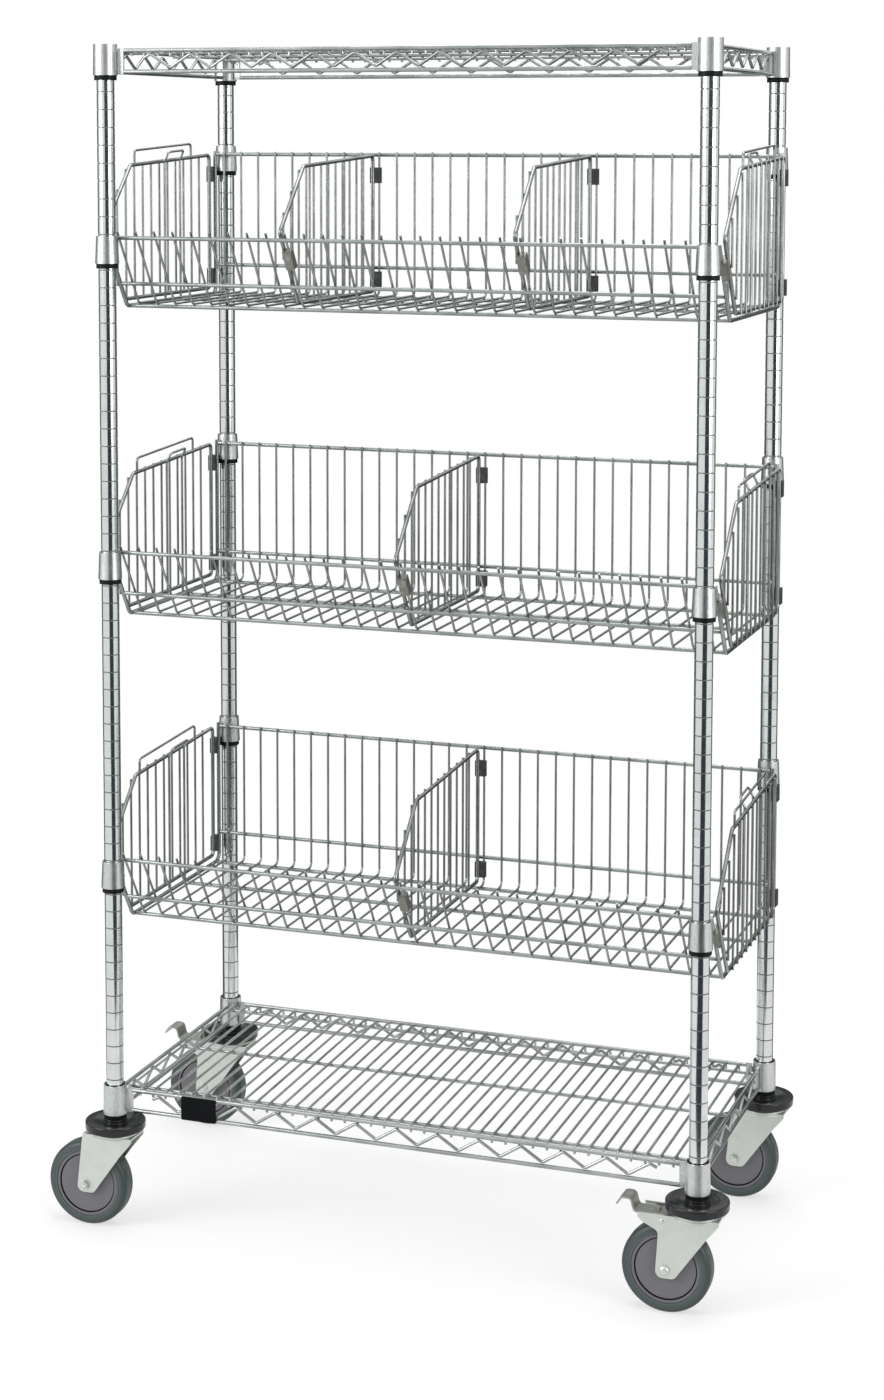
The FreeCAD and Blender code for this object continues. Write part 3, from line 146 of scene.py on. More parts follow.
class RackColours(bpy.types.PropertyGroup):
    """Colours of the rack's finishes."""

    wire: colour("Wire", "Plating on the basket wires", (0.325, 0.35, 0.338))
    wire_dull: colour("Dull wire", "Wire plating where it has gone dull", (0.225, 0.245, 0.235))
    rail: colour("Rail", "Brighter plating on the shelves' trusses", (0.385, 0.405, 0.40))
    rail_dull: colour("Dull rail", "Truss plating where it has gone dull", (0.275, 0.295, 0.285))
    panel: colour("Panel", "Duller plating on the end panels and dividers", (0.302, 0.318, 0.306))
    panel_dull: colour("Dull panel", "Panel plating where it has gone dull", (0.198, 0.209, 0.20))
    # Plating with a painted sheen: lighter than the wire plating to stand in for the deck wires'
    # highlights
    deck: colour("Deck wire", "Plating on the shelves' deck wires", (0.45, 0.475, 0.465))
    post: colour("Post", "Chrome on the posts", (0.655, 0.69, 0.68))
    groove: colour("Groove", "Shade inside the posts' ring grooves", (0.20, 0.215, 0.21))
    collar: colour("Collar", "Plating on the corner collars", (0.575, 0.60, 0.585))
    zinc: colour("Zinc", "Zinc plating on forks, axles and stems", (0.60, 0.63, 0.59))
    zinc_cloud: colour("Zinc cloud", "Darker clouds in the zinc", (0.47, 0.51, 0.48))
    clip_steel: colour("Clip steel", "Dull steel of the panels' front clips", (0.215, 0.215, 0.195))
    steel: colour("Pedal steel", "Dull steel of the brake pedals", (0.33, 0.335, 0.305))
    steel_worn: colour("Worn steel", "Rubbed spots on the dull steel", (0.47, 0.475, 0.44))
    plastic: colour("Black plastic", "Sleeves, caps, sockets and name plate", (0.006, 0.0065, 0.007))
    clip: colour("Clip", "Dark grey of the panels' back clips", (0.030, 0.033, 0.032))
    clip_pale: colour("Pale clip", "Paler grey on the back clips", (0.060, 0.066, 0.064))
    bumper: colour("Bumper", "Dark moulded bumpers", (0.0065, 0.007, 0.0085))
    hub: colour("Wheel centre", "Grey moulded wheel centres", (0.128, 0.124, 0.136))
    hub_gap: colour("Wheel gap", "Shade in the wheel centre's ring groove", (0.002, 0.002, 0.002))
    tyre: colour("Tyre", "Slate rubber of the tyres", (0.066, 0.086, 0.086))
    # Painted shade: the tyre's sidewall darkens towards the tread
    tyre_edge_shade: colour("Tyre edge", "Darker rubber towards the tread", (0.019, 0.036, 0.032))
    dust: colour("Dust", "Pale dust on treads, wheel centres and bumpers", (0.20, 0.205, 0.20))


class RackSizes(bpy.types.PropertyGroup):
    """Sizes of the detail that is modelled over the frame."""

    tyre_seat: length("Tyre seat", "Radius where the tyre sits on the wheel centre", 0.04905)
    tyre_shoulder: length("Tyre shoulder", "Rounding between sidewall and tread", 0.009)
    tyre_lip: length("Tyre lip", "Rounding where the tyre meets the wheel centre", 0.0009)
    tyre_ring_radius: length("Tyre ring", "Radius of the shallow ring on the sidewall", 0.0525)
    tyre_ring_width: length("Tyre ring width", "Width of the sidewall's ring", 0.0007)
    tyre_ring_depth: length("Tyre ring depth", "Depth of the sidewall's ring", 0.0004)
    hub_face: length("Wheel face", "Radius of the wheel centre's face", 0.043)
    hub_gap: length("Wheel gap", "Width of the ring groove round the face", 0.0014)
    hub_gap_depth: length("Wheel gap depth", "Depth of the ring groove", 0.003)
    hub_face_half: length("Half face width", "From the wheel's middle to its face", 0.013)
    hub_rim_half: length("Half rim width", "From the wheel's middle to its rim", 0.0145)
    hub_boss: length("Boss", "Radius of the boss round the axle", 0.013)
    hub_bore: length("Bore", "Radius of the hole for the axle's sleeve", 0.0062)
    hub_round: length("Wheel rounding", "Rounded edges on the wheel centre", 0.0006)
    bumper_corner: length("Bumper corner", "Rounded rim of the bumper", 0.0025)
    bumper_rim: length("Bumper rim", "Width of the bumper's flat rim", 0.013)
    bumper_rim_height: length("Bumper height", "Height of the bumper's rim", 0.013)
    bumper_dish: length("Bumper dish", "Depth of the dish in the bumper's top", 0.0025)
    bumper_hub: length("Bumper hub", "Radius of the hub round the post's foot", 0.017)
    bumper_bore: length("Bumper bore", "Radius of the hole for the post", 0.01275)
    pressed_edge: length("Pressed edge", "Rounding of the fork's and pedal's edges", 0.0006)
    crown_bend: length("Crown bend", "Rounding between the fork's crown and its sides", 0.0022)
    fork_side: length("Fork side", "From the wheel's middle to the fork's outer face", 0.022)
    pin_head: length("Pin head", "Radius of the riveted heads of the pedals' pins", 0.0034)
    pin_rise: length("Pin rise", "Height of the riveted heads", 0.0012)
    cup_inner: length("Race cup bore", "Inside radius of the fork's race cup", 0.0316)
    cup_outer: length("Race cup", "Outside radius of the fork's race cup", 0.034)
    cup_rise: length("Race cup rise", "Height of the race cup over the crown", 0.0036)
    bolt_head: length("Bolt head", "Radius of the axle's domed head", 0.007)
    bolt_rise: length("Bolt rise", "Height of the axle's domed head", 0.0034)
    flange_step: length("Flange step", "How far the head's flange stands out round the dome", 0.0016)
    flange_rise: length("Flange rise", "Thickness of the head's flange", 0.0009)
    bolt_shank: length("Bolt shank", "Radius of the axle", 0.004)
    bolt_stub: length("Bolt stub", "Thread that stands out of the nut", 0.003)
    thread_pitch: length("Thread pitch", "Pitch of the axle's thread", 0.00125)
    thread_depth: length("Thread depth", "Depth of the axle's thread", 0.0005)
    nut_point: length("Nut", "Radius of the nut at its points", 0.0075)
    nut_height: length("Nut height", "Height of the nut", 0.0065)
    nut_chamfer: length("Nut chamfer", "Chamfer on the nut's corners", 0.0007)
    axle_seat: length("Axle seat", "From the wheel's middle to the seat of head and nut", 0.0221)
    sleeve: length("Axle sleeve", "Outside radius of the axle's sleeve", 0.00605)
    plate_border: length("Plate border", "Width of the name plate's raised border", 0.0016)
    plate_recess: length("Plate recess", "Depth of the name plate's bare field", 0.0004)
    plate_corner: length("Plate corner", "Rounded corners of the name plate", 0.002)
    groove_pitch: length("Groove pitch", "Spacing of the posts' ring grooves", 0.0254)
    groove_width: length("Groove width", "Width of the posts' ring grooves", 0.0016)
    groove_first: length("First groove", "From the rack's top to the first groove", 0.0165)


class RackStudio(bpy.types.PropertyGroup):
    """The camera and the light."""

    camera_place: bpy.props.FloatVectorProperty(
        name="Camera", description="Where the camera stands", default=(1.260, -3.652, 1.613),
        subtype="TRANSLATION")
    camera_yaw: camera_turn("Yaw", "Turn to the left", 19.654)
    camera_pitch: camera_turn("Pitch", "Tilt upwards", -5.394)
    camera_roll: camera_turn("Roll", "Turn about the line of sight", 0.072)
    camera_lens: lens_length("Lens", "Focal length on the sensor below", 68.31)
    camera_sensor: lens_length("Sensor", "Long side of the sensor", 36.0)
    camera_shift: bpy.props.FloatVectorProperty(
        name="Shift", description="Sideways and upward shift of the picture", default=(0.0179, -0.225),
        size=2)
    ambient: bpy.props.FloatProperty(
        name="Ambient", description="Even light from all round", default=0.55, min=0.0)
    key: power("Key", "Power of the large lamp on the left", 120.0)
    fill: power("Fill", "Power of the lamp on the right", 60.0)
    top: power("Top", "Power of the lamp overhead", 90.0)
    floor_glow: bpy.props.FloatProperty(
        name="Floor glow", description="Share of plain white in the floor under the rack", default=0.6,
        min=0.0, max=1.0, subtype="FACTOR")
    floor_near: length("Floor shade", "How far out the floor starts to turn plain white", 0.8)
    floor_far: length("Floor white", "How far out the floor is plain white", 1.7)
    curtain_distance: length("Curtain distance", "How far the dark curtains hang from the rack", 5.0)
    curtain_height: length("Curtain height", "Height of the dark curtains", 2.3)
    curtain_gap: length("Curtain gap", "How near to the rack the curtains reach along the floor", 0.9)
    curtain_lift: length("Curtain lift", "How far the curtains lie over the floor", 0.002)
    camera_curtain: colour("Camera curtain", "Colour of the curtain by the camera", (0.050, 0.053, 0.070))
    back_curtain: colour("Back curtain", "Colour of the curtains behind the rack", (0.115, 0.13, 0.127))


# Shader values and nodes

class Value:
    """One socket of a node tree. Arithmetic on it adds Math nodes."""

    def __init__(self, nodes, socket):
        self.nodes = nodes
        self.socket = socket

    def maths(self, operation, first, second):
        return self.nodes.node("ShaderNodeMath", {"operation": operation}, {0: first, 1: second})

    def __add__(self, other):
        return self.maths("ADD", self, other)

    def __radd__(self, other):
        return self.maths("ADD", other, self)

    def __sub__(self, other):
        return self.maths("SUBTRACT", self, other)

    def __rsub__(self, other):
        return self.maths("SUBTRACT", other, self)

    def __mul__(self, other):
        return self.maths("MULTIPLY", self, other)

    def __rmul__(self, other):
        return self.maths("MULTIPLY", other, self)


class Nodes:
    """A node tree that is filled by one method."""

    def __init__(self, tree):
        self.tree = tree
        tree.nodes.clear()

    def node(self, kind, settings=None, inputs=None, out=0):
        """Adds a node, sets it up, then fills or links its sockets, and returns one output."""
        node = self.tree.nodes.new(kind)
        for name, setting in (settings or {}).items():
            setattr(node, name, setting)
        for key, given in (inputs or {}).items():
            if isinstance(given, Value):
                self.tree.links.new(given.socket, node.inputs[key])
            else:
                node.inputs[key].default_value = given
        return Value(self, node.outputs[out]) if len(node.outputs) else None

    def ramp(self, given, low, high):
        """Zero below low, one above high and smooth between them."""
        inputs = {0: given, 1: low, 2: high}
        return self.node("ShaderNodeMapRange", {"interpolation_type": "SMOOTHSTEP"}, inputs)

    def seen_plainly(self):
        """One for rays that show the background: from the camera, off metal and through glass."""
        camera = self.node("ShaderNodeLightPath", out="Is Camera Ray")
        glossy = self.node("ShaderNodeLightPath", out="Is Glossy Ray")
        clear = self.node("ShaderNodeLightPath", out="Is Transmission Ray")
        return self.node("ShaderNodeMath", {"use_clamp": True}, {0: camera + glossy, 1: clear})


class Finish(Nodes):
    """A material on one surface shader, with the patterns that the finishes share."""

    def __init__(self, name, constants):
        self.material = bpy.data.materials.new(name)
        self.material.use_nodes = True
        super().__init__(self.material.node_tree)
        self.shader = self.tree.nodes.new("ShaderNodeBsdfPrincipled")
        for socket, number in constants.items():
            self.shader.inputs[socket].default_value = number
        surface = Value(self, self.shader.outputs[0])
        self.node("ShaderNodeOutputMaterial", inputs={"Surface": surface})

    def set(self, socket, given):
        self.tree.links.new(given.socket, self.shader.inputs[socket])

    def place(self, centre=(0, 0, 0), stretch=(1, 1, 1)):
        """Object coordinates about a centre, stretched along the axes."""
        here = self.node("ShaderNodeTexCoord", out="Object")
        shift = [-middle * scale for middle, scale in zip(centre, stretch)]
        inputs = {"Vector": here, "Location": shift, "Scale": stretch}
        return self.node("ShaderNodeMapping", inputs=inputs)

    def noise(self, place, scale, detail=2.0):
        inputs = {"Vector": place, "Scale": scale, "Detail": detail}
        return self.node("ShaderNodeTexNoise", inputs=inputs)

    def axis(self, place, name):
        return self.node("ShaderNodeSeparateXYZ", inputs={0: place}, out=name)

    def radius(self, place):
        """Distance from the Y axis."""
        flat = self.node("ShaderNodeVectorMath", {"operation": "MULTIPLY"}, {0: place, 1: (1, 0, 1)})
        return self.node("ShaderNodeVectorMath", {"operation": "LENGTH"}, {0: flat}, out="Value")

    def mix(self, factor, first, second):
        return self.node("ShaderNodeMix", {"data_type": "RGBA"}, {0: factor, 6: first, 7: second}, out=2)

    def bump(self, height, strength, distance):
        inputs = {"Height": height, "Strength": strength, "Distance": distance}
        self.set("Normal", self.node("ShaderNodeBump", inputs=inputs))


# Finishes

def wire_plating(name, bright, dull):
    """Plated wire with dull patches and fine drawing marks."""
    finish = Finish(name, {"Metallic": 1.0})
    at = finish.place()
    cloud = finish.noise(at, scale=22, detail=3)
    grain = finish.noise(at, scale=800, detail=2)
    finish.set("Base Color", finish.mix(finish.ramp(cloud, low=0.38, high=0.68), bright, dull))
    finish.set("Roughness", 0.17 + 0.14 * cloud + 0.06 * grain)
    finish.bump(grain, strength=0.15, distance=0.0002)
    return finish.material


def post_chrome(colours, sizes):
    """Chrome tube with painted shade in its ring grooves, water marks and a faint brushed speckle."""
    finish = Finish("post_chrome", {"Metallic": 1.0})
    at = finish.place()
    first = CAD_BOX[1].z - sizes.groove_first
    below = first - finish.axis(at, "Z")
    off = finish.node("ShaderNodeMath", {"operation": "PINGPONG"}, {0: below, 1: sizes.groove_pitch / 2})
    # Painted shade: mask of the ring grooves, which are darkened in the colour below
    groove = 1 - finish.ramp(off, low=sizes.groove_width * 0.4, high=sizes.groove_width * 0.65)
    cloud = finish.noise(at, scale=30, detail=3)
    speckle = finish.noise(finish.place(stretch=(1, 1, 0.12)), scale=1500, detail=2)
    spots = finish.ramp(finish.noise(at, scale=260, detail=2), low=0.66, high=0.74)
    marks = 0.3 * spots + 0.25 * finish.ramp(cloud, low=0.45, high=0.75)
    clean = finish.mix(marks, colours.post, colours.rail)
    finish.set("Base Color", finish.mix(groove, clean, colours.groove))
    finish.set("Roughness", 0.09 + 0.1 * cloud + 0.12 * spots + 0.5 * groove)
    finish.bump(speckle, strength=0.06, distance=0.0002)
    return finish.material


def collar_plating(colours):
    """Pressed collars, plated over a coarse upright grain."""
    finish = Finish("collar_plating", {"Metallic": 1.0})
    cloud = finish.noise(finish.place(), scale=60, detail=3)
    grain = finish.noise(finish.place(stretch=(1, 1, 0.3)), scale=900, detail=3)
    worn = finish.ramp(grain, low=0.45, high=0.75)
    finish.set("Base Color", finish.mix(worn, colours.collar, colours.rail))
    finish.set("Roughness", 0.2 + 0.16 * cloud + 0.1 * grain)
    finish.bump(grain, strength=0.2, distance=0.0003)
    return finish.material


def zinc_plate(colours):
    """Pressed sheet with soft zinc clouds, fine spangle and rubbed marks."""
    finish = Finish("zinc_plate", {"Metallic": 0.9})
    at = finish.place()
    cloud = finish.noise(at, scale=48, detail=4)
    spangle = finish.node("ShaderNodeTexVoronoi", inputs={"Vector": at, "Scale": 420.0}, out="Color")
    fleck = finish.axis(spangle, "X")
    grain = finish.noise(at, scale=1100, detail=2)
    tone = finish.ramp(cloud, low=0.35, high=0.75) * 0.3 + 0.12 * fleck
    finish.set("Base Color", finish.mix(tone, colours.zinc, colours.zinc_cloud))
    finish.set("Roughness", 0.3 + 0.1 * cloud + 0.04 * fleck)
    finish.bump(grain + 0.4 * cloud, strength=0.18, distance=0.0003)
    return finish.material


def dull_steel(name, dull, worn):
    """Bent strip steel, matt and rubbed brighter where it is worn."""
    finish = Finish(name, {"Metallic": 0.85})
    at = finish.place()
    rubbed = finish.ramp(finish.noise(at, scale=110, detail=3), low=0.5, high=0.72)
    scratch = finish.noise(finish.place(stretch=(0.2, 1, 1)), scale=900, detail=2)
    finish.set("Base Color", finish.mix(rubbed, dull, worn))
    finish.set("Roughness", 0.42 - 0.1 * rubbed + 0.08 * scratch)
    finish.bump(scratch, strength=0.15, distance=0.0003)
    return finish.material


def moulded_plastic(name, dark, pale, shine):
    """Moulded dark plastic, a little uneven, with a fine matt texture."""
    finish = Finish(name, {"IOR": 1.46, "Specular IOR Level": shine})
    at = finish.place()
    cloud = finish.noise(at, scale=120, detail=3)
    grain = finish.noise(at, scale=2200, detail=2)
    finish.set("Base Color", finish.mix(finish.ramp(cloud, low=0.4, high=0.8), dark, pale))
    finish.set("Roughness", 0.36 + 0.2 * grain)
    finish.bump(grain, strength=0.25, distance=0.0002)
    return finish.material


def bumper_rubber(colours):
    """Dark moulded bumper with a satin skin, scuffs and dust."""
    finish = Finish("bumper_rubber", {"IOR": 1.46, "Specular IOR Level": 0.4})
    at = finish.place()
    cloud = finish.noise(at, scale=70, detail=4)
    streak = finish.noise(finish.place(stretch=(1, 1, 4)), scale=190, detail=3)
    scuff = finish.ramp(streak, low=0.62, high=0.72)
    grain = finish.noise(at, scale=1500, detail=2)
    finish.set("Base Color", finish.mix(0.03 * cloud + 0.03 * scuff, colours.bumper, colours.dust))
    finish.set("Roughness", 0.1 + 0.12 * cloud + 0.14 * scuff)
    finish.bump(grain, strength=0.12, distance=0.0003)
    return finish.material


def hub_plastic(corner, colours, sizes):
    """Grey moulded wheel centre with painted shade in its ring groove, and faint turned rings."""
    finish = Finish("hub_plastic_" + corner, {"IOR": 1.46})
    at = finish.place(JOINT_PLACES["roll_" + corner])
    out = finish.radius(at)
    middle = sizes.hub_face + sizes.hub_gap / 2
    near = finish.node("ShaderNodeMath", {"operation": "ABSOLUTE"}, {0: out - middle})
    # Painted shade: mask of the ring groove, darkened in the colour below
    gap = 1 - finish.ramp(near, low=sizes.hub_gap * 0.55, high=sizes.hub_gap * 0.8)
    cloud = finish.noise(at, scale=90, detail=3)
    grain = finish.noise(at, scale=1600, detail=2)
    rings = finish.node("ShaderNodeMath", {"operation": "SINE"}, {0: out * TURNED_RINGS})
    worn = finish.mix(0.16 * cloud, colours.hub, colours.dust)
    finish.set("Base Color", finish.mix(gap, worn, colours.hub_gap))
    finish.set("Roughness", 0.42 + 0.16 * cloud + 0.08 * grain + 0.3 * gap)
    finish.bump(grain + 0.12 * rings, strength=0.12, distance=0.0002)
    return finish.material


def tyre_rubber(corner, colours, sizes):
    """Slate tyre with painted shade towards the tread, with dust on the running face and a mould line."""
    centre = JOINT_PLACES["roll_" + corner]
    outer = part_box("tyre_" + corner)[1].z - centre.z
    finish = Finish("tyre_rubber_" + corner, {"IOR": 1.5})
    at = finish.place(centre)
    out = finish.radius(at)
    across = finish.node("ShaderNodeMath", {"operation": "ABSOLUTE"}, {0: finish.axis(at, "Y")})
    cloud = finish.noise(at, scale=60, detail=4)
    grain = finish.noise(at, scale=1300, detail=2)
    # Painted shade: the side grows darker from the seat out to the tread
    edge = finish.ramp(out, low=sizes.tyre_seat, high=outer - sizes.tyre_shoulder * 0.1)
    tread = finish.ramp(out, low=outer * 0.985, high=outer * 0.998)
    running = tread * finish.ramp(cloud, low=0.4, high=0.62)
    side = finish.mix(edge, colours.tyre, colours.tyre_edge_shade)
    finish.set("Base Color", finish.mix(0.3 * running, side, colours.dust))
    finish.set("Roughness", 0.38 + 0.14 * cloud + 0.2 * running)
    line = 1 - finish.ramp(across, low=0.0003, high=0.0007)
    finish.bump(grain + 1.2 * line, strength=0.16, distance=0.0003)
    return finish.material


# Mesh helpers

def paint(node, material):
    """Gives a node of the frame a finish."""
    slots = frame["nodes"][node].material_slots
    if not slots:
        raise RuntimeError("node %s has no material slot" % node)
    slots[0].material = material


def soften(bm, width, segments=2, angle=SMOOTH_ANGLE, chosen=None):
    """Rounds the edges that turn by more than an angle, or those of them that a test chooses."""
    sharp = [edge for edge in bm.edges if edge.is_manifold and edge.calc_face_angle() > angle]
    edges = [edge for edge in sharp if chosen is None or chosen(edge)]
    bmesh.ops.bevel(bm, geom=edges, offset=width, offset_type="OFFSET", segments=segments, profile=0.5,
                    affect="EDGES", material=-1, clamp_overlap=True)


def tidy(bm):
    """Merges doubles and points the faces outwards."""
    bmesh.ops.remove_doubles(bm, verts=bm.verts, dist=MERGE_DISTANCE)
    bmesh.ops.recalc_face_normals(bm, faces=bm.faces)


def off_axis(edge, axis):
    """How far an edge's first end lies from an axis through the origin."""
    end = edge.verts[0].co
    return end.xz.length if axis == "Y" else end.xy.length


def turned(bm, angle, axis):
    """Turns a bmesh about an axis through the origin."""
    bmesh.ops.rotate(bm, cent=(0, 0, 0), matrix=Matrix.Rotation(angle, 3, axis), verts=bm.verts)


def spun_ring(section, axis, steps=64):
    """Spins a closed section of (radius, along) points about an axis through the origin."""
    bm = bmesh.new()
    if axis == "Y":
        points = [Vector((radius, along, 0)) for radius, along in section]
    else:
        points = [Vector((radius, 0, along)) for radius, along in section]
    verts = [bm.verts.new(point) for point in points]
    edges = [bm.edges.new((verts[i - 1], verts[i])) for i in range(len(verts))]
    about = Vector((0, 1, 0)) if axis == "Y" else Vector((0, 0, 1))
    bmesh.ops.spin(bm, geom=verts + edges, cent=(0, 0, 0), axis=about, angle=FULL_TURN, steps=steps,
                   use_merge=True)
    tidy(bm)
    return bm


def button(radius, rise):
    """A low round head that faces the front, with a flat base and a smaller flat on top."""
    bm = bmesh.new()
    bmesh.ops.create_uvsphere(bm, u_segments=32, v_segments=24, radius=radius)
    bmesh.ops.scale(bm, vec=(1, 1, rise / radius / BUTTON_CUT), verts=bm.verts)
    for height, facing in ((0, -1), (rise, 1)):
        cut = bmesh.ops.bisect_plane(bm, geom=bm.verts[:] + bm.edges[:] + bm.faces[:], dist=MERGE_DISTANCE,
                                     plane_co=(0, 0, height), plane_no=(0, 0, facing), clear_outer=True)
        rim = [item for item in cut["geom_cut"] if isinstance(item, bmesh.types.BMEdge)]
        bmesh.ops.edgeloop_fill(bm, edges=rim)
    turned(bm, math.pi / 2, "X")
    return bm


def copy_of(node):
    """A merged copy of a node's mesh, with its flat faces whole."""
    bm = bmesh.new()
    bm.from_mesh(frame["nodes"][node].data)
    bmesh.ops.remove_doubles(bm, verts=bm.verts, dist=MERGE_DISTANCE)
    bmesh.ops.dissolve_limit(bm, angle_limit=FLAT_ANGLE, verts=bm.verts, edges=bm.edges)
    return bm


def finished(name, bm, material, body, stands_for):
    """Turns a bmesh into a piece that rides on a body and stands for nodes of the frame."""
    for face in bm.faces:
        face.smooth = True
    mesh = bpy.data.meshes.new(name)
    bm.to_mesh(mesh)
    bm.free()
    mesh.set_sharp_from_angle(angle=SMOOTH_ANGLE)
    mesh.materials.append(material)
    piece = bpy.data.objects.new(name, mesh)
    bpy.context.scene.collection.objects.link(piece)
    flat = piece.modifiers.new("flat_faces", "WEIGHTED_NORMAL")
    flat.keep_sharp = True
    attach(piece, body)
    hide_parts(*stands_for)
    return piece


def moved_in(target, source, offset):
    """Adds a moved copy of one bmesh to another."""
    mesh = bpy.data.meshes.new("moving")
    source.to_mesh(mesh)
    mesh.transform(Matrix.Translation(offset))
    target.from_mesh(mesh)
    bpy.data.meshes.remove(mesh)


def staged(name, bm, material):
    """Turns a bmesh into a part of the studio."""
    mesh = bpy.data.meshes.new(name)
    bm.to_mesh(mesh)
    bm.free()
    mesh.materials.append(material)
    piece = bpy.data.objects.new(name, mesh)
    bpy.context.scene.collection.objects.link(piece)
    return piece


# Operators, one for each piece or group of like pieces

class RACK_OT_wires(bpy.types.Operator):
    """Plate the shelf and basket wires"""

    bl_idname = "rack.wires"
    bl_label = "Wires"

    def execute(self, context):
        colours = context.scene.rack_colours
        wire = wire_plating("wire_plating", colours.wire, colours.wire_dull)
        rail = wire_plating("rail_plating", colours.rail, colours.rail_dull)
        # The deck finish is the plating lightened by a painted sheen
        deck = wire_plating("deck_plating", colours.deck, colours.rail_dull)
        panel = wire_plating("panel_plating", colours.panel, colours.panel_dull)
        for shelf in SHELVES:
            paint(shelf + "_rails", rail)
            paint(shelf + "_zigzags", rail)
            paint(shelf + "_deck_wires", deck)
        for basket in BASKETS:
            for part in ("rails", "side_frames", "wires"):
                paint("%s_%s" % (basket, part), wire)
            for part in ("end_panels", "dividers"):
                paint("%s_%s" % (basket, part), panel)
        return {"FINISHED"}


class RACK_OT_posts(bpy.types.Operator):
    """Chrome the posts"""

    bl_idname = "rack.posts"
    bl_label = "Posts"

    def execute(self, context):
        scene = context.scene
        chrome = post_chrome(scene.rack_colours, scene.rack_sizes)
        for corner in CORNERS:
            paint("post_" + corner, chrome)
        return {"FINISHED"}


class RACK_OT_collars(bpy.types.Operator):
    """Plate the corner collars"""

    bl_idname = "rack.collars"
    bl_label = "Collars"

    def execute(self, context):
        plating = collar_plating(context.scene.rack_colours)
        for level in SHELVES + BASKETS:
            paint(level + "_collars", plating)
        return {"FINISHED"}


class RACK_OT_plastics(bpy.types.Operator):
    """Colour the sleeves, caps and clips, and plate the stems"""

    bl_idname = "rack.plastics"
    bl_label = "Sleeves and Clips"

    def execute(self, context):
        colours = context.scene.rack_colours
        plastic = moulded_plastic("black_plastic", colours.plastic, colours.bumper, shine=0.15)
        for node in frame["nodes"]:
            if "sleeves" in node or node in ("post_caps", "stem_sockets"):
                paint(node, plastic)
        clip = moulded_plastic("clip_plastic", colours.clip, colours.clip_pale, shine=0.3)
        paint("panel_back_clips", clip)
        paint("panel_front_clips", dull_steel("clip_steel", colours.clip_steel, colours.steel))
        zinc = zinc_plate(colours)
        for node in ("caster_stems", "swivel_balls"):
            paint(node, zinc)
        return {"FINISHED"}


class RACK_OT_name_plate(bpy.types.Operator):
    """Model the bare name plate with its raised border"""

    bl_idname = "rack.name_plate"
    bl_label = "Name Plate"

    def execute(self, context):
        sizes = context.scene.rack_sizes
        low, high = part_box("name_plate")
        bm = bmesh.new()
        bmesh.ops.create_cube(bm, size=1)
        bmesh.ops.scale(bm, vec=high - low, verts=bm.verts)
        bmesh.ops.translate(bm, vec=(low + high) / 2, verts=bm.verts)
        spans = {edge: edge.verts[0].co - edge.verts[1].co for edge in bm.edges}
        corners = [edge for edge, span in spans.items() if abs(span.y) > MERGE_DISTANCE]
        bmesh.ops.bevel(bm, geom=corners, offset=sizes.plate_corner, segments=5, profile=0.5,
                        affect="EDGES", material=-1)
        front = [face for face in bm.faces if face.normal.y < -0.9]
        bmesh.ops.inset_region(bm, faces=front, thickness=sizes.plate_border)
        bmesh.ops.translate(bm, vec=(0, sizes.plate_recess, 0), verts=front[0].verts)
        soften(bm, sizes.plate_recess / 2)
        tidy(bm)
        colours = context.scene.rack_colours
        material = moulded_plastic("plate_plastic", colours.plastic, colours.bumper, shine=0.04)
        finished("bare_name_plate", bm, material, "rack", ["name_plate"])
        return {"FINISHED"}


class RACK_OT_bumpers(bpy.types.Operator):
    """Spin the four dished bumpers"""

    bl_idname = "rack.bumpers"
    bl_label = "Bumpers"

    def execute(self, context):
        scene = context.scene
        sizes = scene.rack_sizes
        low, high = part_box("bumpers")
        centre = JOINT_PLACES["swivel_front_left"]
        outer = min((high[axis] - low[axis]) / 2 - abs(centre[axis]) for axis in range(2))
        rim = sizes.bumper_rim_height
        top = high.z - low.z
        section = [
            (sizes.bumper_bore, 0),
            (outer, 0),
            (outer, rim),
            (outer - sizes.bumper_rim, rim),
            (sizes.bumper_hub, rim - sizes.bumper_dish),
            (sizes.bumper_hub, top),
            (sizes.bumper_bore, top),
        ]
        one = spun_ring(section, "Z", steps=72)
        rim_edge = outer * RIM_SHARE
        soften(one, sizes.bumper_corner, segments=5, chosen=lambda edge: off_axis(edge, "Z") > rim_edge)
        inside = outer - sizes.bumper_rim / 2
        soften(one, sizes.bumper_corner * DISH_SHARE, segments=3, angle=DISH_ANGLE,
               chosen=lambda edge: 0 < edge.verts[0].co.z and off_axis(edge, "Z") < inside)
        bm = bmesh.new()
        for corner in CORNERS:
            stand = JOINT_PLACES["swivel_" + corner]
            moved_in(bm, one, Vector((stand.x, stand.y, low.z)))
        one.free()
        finished("moulded_bumpers", bm, bumper_rubber(scene.rack_colours), "rack", ["bumpers"])
        return {"FINISHED"}


